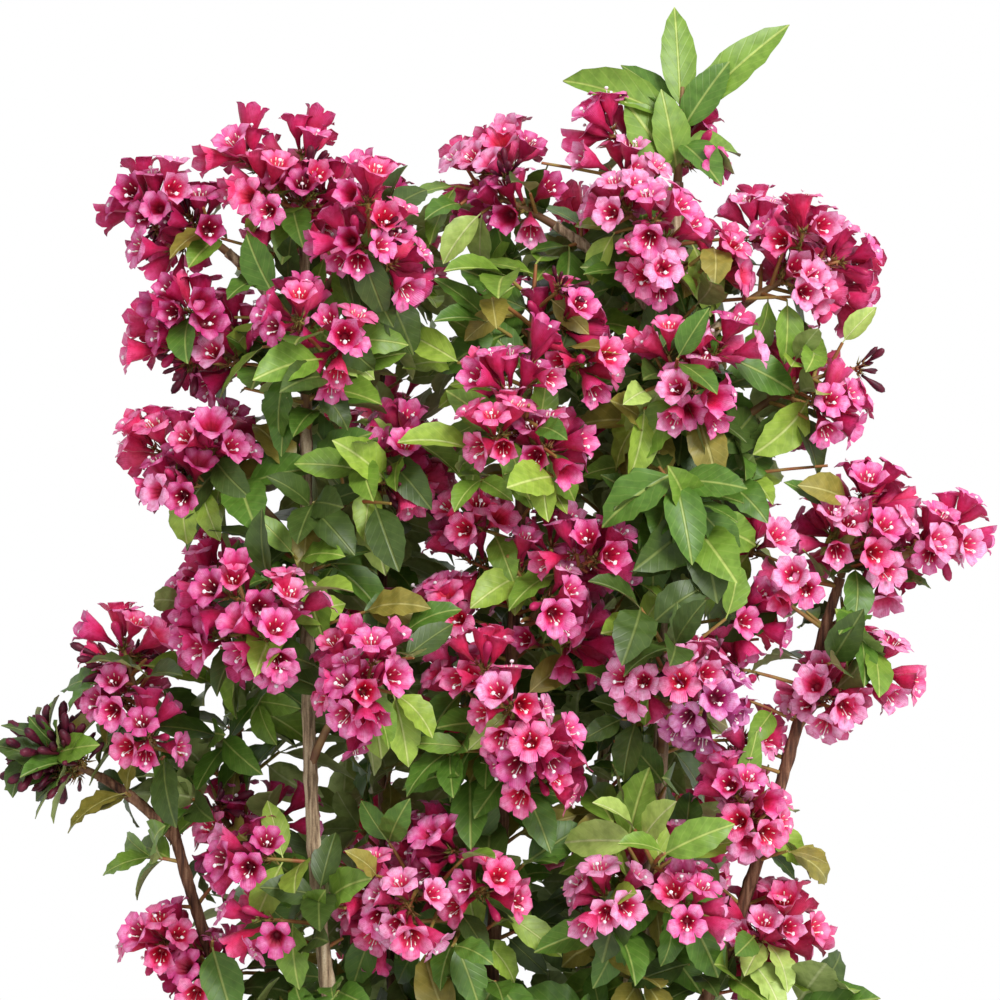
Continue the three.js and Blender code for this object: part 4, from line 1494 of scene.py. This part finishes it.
def grow_flowering_twig(index, row, root, direction, room, is_open):
    mass = masses[index]
    reach = row.between(*FLOWERING_REACH) * TRIMS.get(mass.name, 1.0)
    length = min(MOST_TWIG, max(LEAST_TWIG, room * reach - FLOWER_ROOM))
    points = bowed(root, direction, length, FLOWERING_SAG * row())
    note_strand("twigs", mass, points, TWIG_RADII)
    tint = leaf_tint(mass, row)
    grow_leaf_pairs(mass, row, points, *COLLAR_LEAVES, tint)
    most = FLOWERS_IN_A_BUNCH if is_open else FLOWERS_IN_A_BUNCH // 3
    if row() < SPENT_SHARE:
        grow_buds(mass, row, points[-1], direction, 7)
    elif not grow_bunch(mass, row, points[-1], direction, most):
        grow_leaf(mass, row, points[-1], direction, tint)
        grow_leaf_pairs(mass, row, points, *END_LEAVES, tint)
    if length > SIDE_BUNCHES_FROM and is_open and row() < SIDE_BUNCH_SHARE:
        grow_side_bunches(index, row, points[2], direction)
    lower = LOWER_LEAVES if length > TWO_PAIRS_FROM else SHORT_TWIG_LEAVES
    grow_leaf_pairs(mass, row, points, *lower, tint)


def grow_leafy_twig(mass, row, root, direction, length, steps=4):
    """A twig with leaves alone, in pairs and one at its end."""
    points = bowed(root, direction, length, LEAFY_SAG * row(), steps)
    note_strand("twigs", mass, points, TWIG_RADII)
    tint = leaf_tint(mass, row)
    if mass.kind == "bud":
        grow_buds(mass, row, points[-1], direction, 6, (0.8, 1.1))
    grow_leaf(mass, row, points[-1], direction, tint)
    grow_leaf_pairs(mass, row, points, *LEAFY_TWIG_LEAVES, tint)


def grow_twig(index, row, root, direction, flowers_here):
    """A side twig: with a bunch of flowers where it comes out into the open, or else with leaves."""
    mass = masses[index]
    room = room_along(index, root, direction)
    if room < LEAST_ROOM:
        return
    is_open = in_the_open(index, root + direction * (room + OPEN_AIR))
    flowers_here = flowers_here and row() < BLOOM_SHARES.get(mass.name, 1.0)
    flowers_here = flowers_here and not in_leafy_spot(root + direction * room)
    if mass.kind == "blossom" and flowers_here and (is_open or row() < HIDDEN_BLOOM_SHARE):
        grow_flowering_twig(index, row, root, direction, room, is_open)
    else:
        reach = row.between(*LEAFY_REACH) * min(1.0, TRIMS.get(mass.name, 1.0))
        length = min(MOST_TWIG, max(LEAST_TWIG, room * reach - LEAF_ROOM))
        grow_leafy_twig(mass, row, root, direction, length)


# %% [markdown]
# ### The leader
#
# At the top right a young shoot has grown past the flowers. It is quick and soft, with long slim leaves:
# one stands up at its tip, and the others spread in pairs below it. They are few and stand free against
# the sky, so each is placed one by one, by its height up the shoot, its azimuth and its rise in degrees.
# Three flowering twigs spring from the shoot's foot.

# %% The leader
LEADER = "right_top"
LEADER_LEAVES = [  # the share of the shoot, azimuth, rise, length, slimness, template, tint
    (0.70, 215, 87, 80, 0.60, 0, "middle"),
    (0.60, 350, 48, 106, 0.50, 0, "middle"),
    (0.60, 186, 32, 92, 0.52, 1, "middle"),
    (0.72, 172, 46, 58, 0.66, 0, "deep"),
    (0.03, 212, 56, 66, 1.14, 0, "middle"),
    (0.06, 246, 68, 62, 0.84, 0, "middle"),
    (0.50, 335, 58, 62, 0.80, 0, "deep"),
    (0.42, 300, -22, 54, 0.90, 1, "deep"),
    (0.34, 196, -28, 54, 0.84, 0, "fresh"),
    (0.55, 80, 30, 60, 0.80, 1, "middle"),
    (0.35, 20, 10, 56, 0.80, 1, "middle"),
    (0.30, 130, 20, 60, 0.80, 2, "fresh"),
]
LEADER_LIGHT = np.array([-0.2, -0.8, 0.7])  # it leans to the light at the front
# Its flowering twigs: the share of the shoot, azimuth, rise, length and number of flowers.
LEADER_TWIGS = [(0.12, 186, 30, 56, 7), (0.08, 90, 35, 46, 7), (0.15, 40, 20, 14, 3)]
LEADER_TWIG_LEAVES = ([0.85, 0.45], (50, 80))
LEADER_LOOK_OUT = 0.3


def compass(azimuth, rise):
    """The direction with an azimuth and a rise above the level, both in degrees."""
    level = math.cos(math.radians(rise))
    turn = math.radians(azimuth)
    return np.array([level * math.cos(turn), level * math.sin(turn), math.sin(math.radians(rise))])


def grow_set_twig(mass, row, foot, way, length, most, leaf_pairs):
    """A flowering twig that is placed as listed."""
    points = bowed(foot, way, length, SLIGHT_SAG)
    note_strand("twigs", mass, points, TWIG_RADII)
    grow_bunch(mass, row, points[-1], way, most)
    grow_leaf_pairs(mass, row, points, *leaf_pairs, leaf_tint(mass, row))


def grow_leader(mass, row):
    region = REGIONS[mass.stem]
    for share, azimuth, rise, length, slimness, number, tint in LEADER_LEAVES:
        foot, way = mass.path.at(share), compass(azimuth, rise)
        light = LEADER_LIGHT + LEADER_LOOK_OUT * outwards(foot)
        place("leaves", region, leaves[number], LEAF_NUMBERS[tint], foot, way, light, length, slimness)
        for spot in LEAF_SPOTS:
            blades.take(foot + way * length * spot)
    for share, azimuth, rise, length, most in LEADER_TWIGS:
        foot, way = mass.path.at(share), compass(azimuth, rise)
        grow_set_twig(mass, row, foot, way, length, most, LEADER_TWIG_LEAVES)


# %% [markdown]
# ### A mass
#
# The rule of the solid model: along a mass's shoot, six opposite pairs of twigs, each a quarter turn from
# the last, and one twig at its tip. All but the lowest pair may flower.

# %% One mass
PAIRS = 6
FIRST_TURN = 35
TWIG_ANGLE, LEAF_ANGLE = 56, 62
TWIG_SPREAD = 10
SHOOT_STEPS = 14
ENTRY_DEPTH = 0.8  # the lowest pair stands where the shoot comes this near its mass's middle, in its sizes
LEAST_STUB = 0.02  # the least share of the shoot below that pair
LAST_PAIR, TIP_TWIG = 0.96, 0.97
GROWTH_SEED = 500


def grow_mass(index):
    mass = masses[index]
    source_row = SeededRow(mass.seed)
    row = SeededRow(mass.seed + GROWTH_SEED)
    path = mass.path
    points = [path.at(share) for share in np.linspace(mass.start, 1, SHOOT_STEPS)]
    note_strand("shoots", mass, points, SHOOT_RADII)
    if mass.name == LEADER:
        grow_leader(mass, row)
        return
    entry = max(share_at_entry(mass, mass.size * ENTRY_DEPTH), mass.start + LEAST_STUB)
    grow_twig(index, row, path.at(TIP_TWIG), path.along(1), True)
    for pair in range(PAIRS):
        share = entry + (LAST_PAIR - entry) * (pair + 0.5) / PAIRS
        root, axis = path.at(share), path.along(share)
        for half in (0, 180):
            turn = FIRST_TURN + 90 * pair + half + source_row.between(-TWIG_SPREAD, TWIG_SPREAD)
            angle = LEAF_ANGLE
            if pair % 2 == 1:
                angle = TWIG_ANGLE + source_row.between(-TWIG_SPREAD, TWIG_SPREAD)
            grow_twig(index, row, root, leaning(axis, angle, turn), pair > 0)


for index in range(len(masses)):
    grow_mass(index)
print(bunches.count, "bunches and", mouths.count, "flowers and buds on the masses")

# %% [markdown]
# ### Twigs in the gaps
#
# Some twigs spring from a stem between two masses, and their flowers or leaves fill the gap there. Each
# is listed: its height up the stem, azimuth, rise, length and number of flowers, or 0 for leaves
# alone. The number of a twig in the whole list seeds it.

# %% Twigs in the gaps
GAP_SEED = 1200
GAP_TWIG_LEAVES = ([0.95, 0.5, 0.2], (50, 80))
GAP_TWIGS = [
    ("centre", [
        (672, 285, 14, 62, 9), (602, 290, 14, 60, 8), (466, 300, 14, 62, 8), (560, 300, 12, 64, 8),
        (545, 345, 12, 44, 8), (720, 170, 30, 60, 0), (736, 160, 45, 50, 0), (400, 240, 12, 66, 9),
        (734, 262, 22, 60, 9), (728, 215, 18, 62, 9), (730, 312, 18, 60, 8), (556, 205, 22, 46, 7),
        (592, 190, 28, 40, 6), (575, 232, 10, 38, 7), (620, 215, 20, 44, 7),
    ]),
    ("far_left", [
        (488, 182, 50, 42, 8), (490, 160, 50, 30, 6), (484, 272, 12, 24, 8), (478, 318, -4, 30, 0),
        (398, 190, 15, 22, 0), (492, 215, 30, 34, 6),
    ]),
    ("mid_left", [(470, 250, 30, 36, 0), (500, 300, 20, 40, 0), (420, 310, 10, 34, 5)]),
    ("left", [
        (740, 300, 18, 60, 8), (735, 186, 10, 96, 8), (548, 188, 20, 44, 0), (545, 262, 10, 22, 0),
        (600, 250, 30, 26, 0), (640, 285, 20, 26, 0), (560, 345, 20, 44, 0), (832, 150, 60, 62, 8),
        (834, 20, 58, 56, 8), (828, 196, 36, 52, 5), (812, 182, 22, 62, 0), (786, 200, 30, 56, 0),
        (772, 180, 10, 50, 0), (372, 300, 10, 40, 0), (360, 200, 10, 40, 7),
    ]),
    ("right", [
        (866, 184, 14, 98, 8), (864, 187, 18, 48, 8), (838, 196, 26, 56, 7), (828, 352, 8, 60, 8),
        (812, 12, 20, 56, 7), (786, 350, 6, 96, 8), (660, 352, 10, 112, 8), (560, 330, 12, 60, 9),
        (500, 0, 6, 60, 0), (480, 352, 6, 60, 7), (640, 0, 15, 56, 0), (606, 350, 20, 60, 0),
        (800, 330, 24, 34, 8), (768, 304, 10, 40, 7), (655, 350, 10, 52, 0), (690, 20, 20, 56, 0),
    ]),
    ("far_right", [
        (594, 20, 76, 64, 8), (590, 180, 25, 70, 8), (545, 345, 10, 40, 7), (460, 200, 20, 30, 8),
        (470, 160, 20, 50, 0), (560, 190, 35, 56, 0), (520, 192, 18, 52, 8), (496, 182, 26, 40, 7),
        (590, 215, 10, 40, 4),
    ]),
    ("left", [(838, 184, 54, 66, 7), (402, 190, 8, 44, 8)]),
    ("right", [(700, 8, 0, 92, 0), (545, 356, 10, 66, 8)]),
]


def on_limb(name, stem_name, kind):
    """What a twig outside the masses needs to know of where it grows."""
    return SimpleNamespace(name=name, stem=stem_name, kind=kind)


gap_rows = [(stem_name, row) for stem_name, rows in GAP_TWIGS for row in rows]
for number, (stem_name, (height, azimuth, rise, length, most)) in enumerate(gap_rows):
    twig_row = SeededRow(GAP_SEED + number)
    on_stem = on_limb("stem", stem_name, "blossom")
    path = STEMS[stem_name].path
    foot, way = path.at(path.share_at_height(height)), compass(azimuth, rise)
    if most == 0:
        grow_leafy_twig(on_stem, twig_row, foot, way, length)
    else:
        grow_set_twig(on_stem, twig_row, foot, way, length, most, GAP_TWIG_LEAVES)
print(len(gap_rows), "twigs in the gaps,", bunches.count, "bunches in all")

# %% [markdown]
# ### Leaves on the limbs
#
# Between the masses, short leafy twigs stand in pairs on the stems and on the way to each mass, as far
# down as the light reaches. Three stems show bare for a stretch. When all have grown, the leaves that
# the twigs would bear are placed, one by one, where there is room.

# %% Leaves on the limbs
STEM_SEED, SHOOT_SEED = 900, 700
LIMB_NODE_SPACING = 32
LEAFY_FROM = 190
LIMB_TWIG_ANGLES = (46, 72)
LIMB_TURN, LIMB_SPREAD = 20, 20
STEM_STRETCH = (0.12, 0.97)  # the shares of a stem between which it bears leaves
SHOOT_FROM = 0.15
# The heights between which a stem shows bare.
BARE_STRETCHES = {"left": (385, 530), "far_right": (400, 470), "far_left": (385, 450)}
STEM_TWIGS = {"left": (12, 30), "far_left": (14, 36), "mid_left": (14, 40), "far_right": (14, 40)}
USUAL_STEM_TWIGS = (16, 44)
SHOOT_TWIGS = (8, 22)


def grow_on_limb(limb, row, path, start, end, twig_lengths):
    """Short leafy twigs in pairs along a limb, between two shares of its length."""
    bare = BARE_STRETCHES.get(limb.stem, (0, 0))
    count = int((end - start) * path.length / LIMB_NODE_SPACING)
    for node in range(count):
        share = start + (end - start) * (node + 0.5) / count
        foot, axis = path.at(share), path.along(share)
        if foot[2] < LEAFY_FROM or (limb.name == "stem" and bare[0] < foot[2] < bare[1]):
            continue
        for half in (0, 180):
            angle = row.between(*LIMB_TWIG_ANGLES)
            turn = LIMB_TURN + 90 * node + half + row.between(-LIMB_SPREAD, LIMB_SPREAD)
            grow_leafy_twig(limb, row, foot, leaning(axis, angle, turn), row.between(*twig_lengths), 2)


for index, (stem_name, stem) in enumerate(STEMS.items()):
    lengths = STEM_TWIGS.get(stem_name, USUAL_STEM_TWIGS)
    limb = on_limb("stem", stem_name, "limb")
    grow_on_limb(limb, SeededRow(STEM_SEED + index), stem.path, *STEM_STRETCH, lengths)
for mass in masses:
    if mass.name != LEADER:
        limb = on_limb(mass.name, mass.stem, "limb")
        twig_row, entry = SeededRow(mass.seed + SHOOT_SEED), share_at_entry(mass, mass.size)
        grow_on_limb(limb, twig_row, mass.path, SHOOT_FROM, entry, SHOOT_TWIGS)
for leaf in borne:
    place_leaf(*leaf)
print(len(borne), "leaves were borne, and", blade_middles.count, "found room")

# %% [markdown]
# ## Dealing the copies out
#
# All copies of one kind in one region of the crown become one mesh. Its vertices, edges and faces are
# the template's arrays, repeated and moved, which takes a moment for thousands of copies. The UV map
# "grain" is what the finishes read. The second map lays all copies with the same finish on one tile, so
# that a picture baked through it is sharp and the same for each of them.

# %% Joined meshes
TILE_MARGIN = 0.04


def repeated(numbers, count, first, step):
    """An array of numbers once for each copy, each copy's shifted on by a step."""
    return (numbers.ravel() + first + np.arange(count)[:, None] * step).ravel()


def joined_arrays(rows, finishes):
    """The arrays of one mesh of many copies, as lists with one array for each template."""
    tint_counts = np.array([len(tints) for tints in finishes])
    firsts = np.cumsum(tint_counts) - tint_counts
    across = math.ceil(math.sqrt(tint_counts.sum()))
    joined = SimpleNamespace(places=[], edges=[], sharp=[], corners=[], corner_edges=[])
    vars(joined).update(starts=[], numbers=[], grains=[], tiles=[])
    first_vertex = first_edge = first_corner = 0
    for template in {id(row[0]): row[0] for row in rows}.values():
        _, tints, feet, frames = zip(*[row for row in rows if row[0] is template])
        count = len(feet)
        turned = np.einsum("vk,nkj->nvj", template.places, np.array(frames))
        joined.places.append(turned + (np.array(feet) * MM)[:, None, :])
        v, e, c = len(template.places), len(template.edges), len(template.corner_vertices)
        joined.edges.append(repeated(template.edges, count, first_vertex, v))
        joined.sharp.append(np.tile(template.sharp, count))
        joined.corners.append(repeated(template.corner_vertices, count, first_vertex, v))
        joined.corner_edges.append(repeated(template.corner_edges, count, first_edge, e))
        joined.starts.append(repeated(template.starts, count, first_corner, c))
        number = firsts[template.parts] + np.array(tints)[:, None] % tint_counts[template.parts]
        joined.numbers.append(number)
        of_corner = np.repeat(number, np.diff(np.append(template.starts, c)), axis=1)
        tile = np.stack([of_corner // across, of_corner % across], axis=-1).reshape(-1, 2)
        grain = np.tile(template.uv, (count, 1))
        joined.grains.append(grain)
        joined.tiles.append((tile + TILE_MARGIN + (1 - 2 * TILE_MARGIN) * grain) / across)
        first_vertex += v * count
        first_edge += e * count
        first_corner += c * count
    return joined


def joined_piece(name, rows, finishes):
    """One mesh of many copies. `finishes` gives, for each part of a template, its list of tints."""
    joined = joined_arrays(rows, finishes)
    mesh = bpy.data.meshes.new(name)

    def fill(items, key, arrays, width=1, kind=np.int32):
        values = np.concatenate([array.ravel() for array in arrays]).astype(kind)
        if not len(items):
            items.add(len(values) // width)
        items.foreach_set(key, values)

    fill(mesh.vertices, "co", joined.places, 3, np.float32)
    fill(mesh.edges, "vertices", joined.edges, 2)
    fill(mesh.loops, "vertex_index", joined.corners)
    fill(mesh.loops, "edge_index", joined.corner_edges)
    fill(mesh.polygons, "loop_start", joined.starts)
    fill(mesh.polygons, "material_index", joined.numbers)
    sharp = mesh.attributes.new("sharp_edge", "BOOLEAN", "EDGE")
    fill(sharp.data, "value", joined.sharp, kind=bool)
    for layer_name, uvs in (("grain", joined.grains), ("OFBake", joined.tiles)):
        layer = mesh.uv_layers.new(name=layer_name)
        fill(layer.data, "uv", uvs, 2, np.float32)
    for tints in finishes:
        for finish in tints:
            mesh.materials.append(finish)
    mesh.update()
    mesh.validate()
    piece = bpy.data.objects.new(name, mesh)
    bpy.context.collection.objects.link(piece)
    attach(piece, "root")
    return piece


# %% The pieces of the crown
def nodes_of(region, kinds):
    return [mass.node for mass in masses if REGIONS[mass.stem] == region and mass.kind in kinds]


# Each kind of piece has, for each part of its template, a list of tints, and its finish in the record.
PIECES = {
    "blossom": ([petal_finishes], "blossom_and_leaves"),
    "hearts": ([[stigma_skin], [anther_skin]], "blossom_and_leaves"),
    "calyces": ([[sepal_skin]], "blossom_and_leaves"),
    "buds": ([bud_skins], "buds"),
    "leaves": ([leaf_finishes, [underside_finish]], "leaves"),
}
total = 0
for (kind, region), rows in sorted(stances.items()):
    finishes, slot = PIECES[kind]
    piece = joined_piece(f"{kind}_{region}", rows, finishes)
    if kind == "blossom":
        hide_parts(*nodes_of(region, ["blossom"]))
    if kind == "leaves":
        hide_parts(*nodes_of(region, ["leaf", "bud"]))
    triangles = sum(row[0].triangles for row in rows)
    total += triangles
    print(piece.name, len(rows), "copies,", triangles, "triangles")

for (kind, region), tubes in sorted(strands.items()):
    piece = tube_piece(f"{kind}_{region}", tubes, TWIG_BEVEL)
    piece.data.materials.append(shoot_skin if kind == "twigs" else twig_skin)
    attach(piece, "root")
    total += 2 * len(piece.data.polygons)
    print(piece.name, len(tubes), "tubes,", len(piece.data.polygons), "faces")
print("about", total, "triangles in the crown")
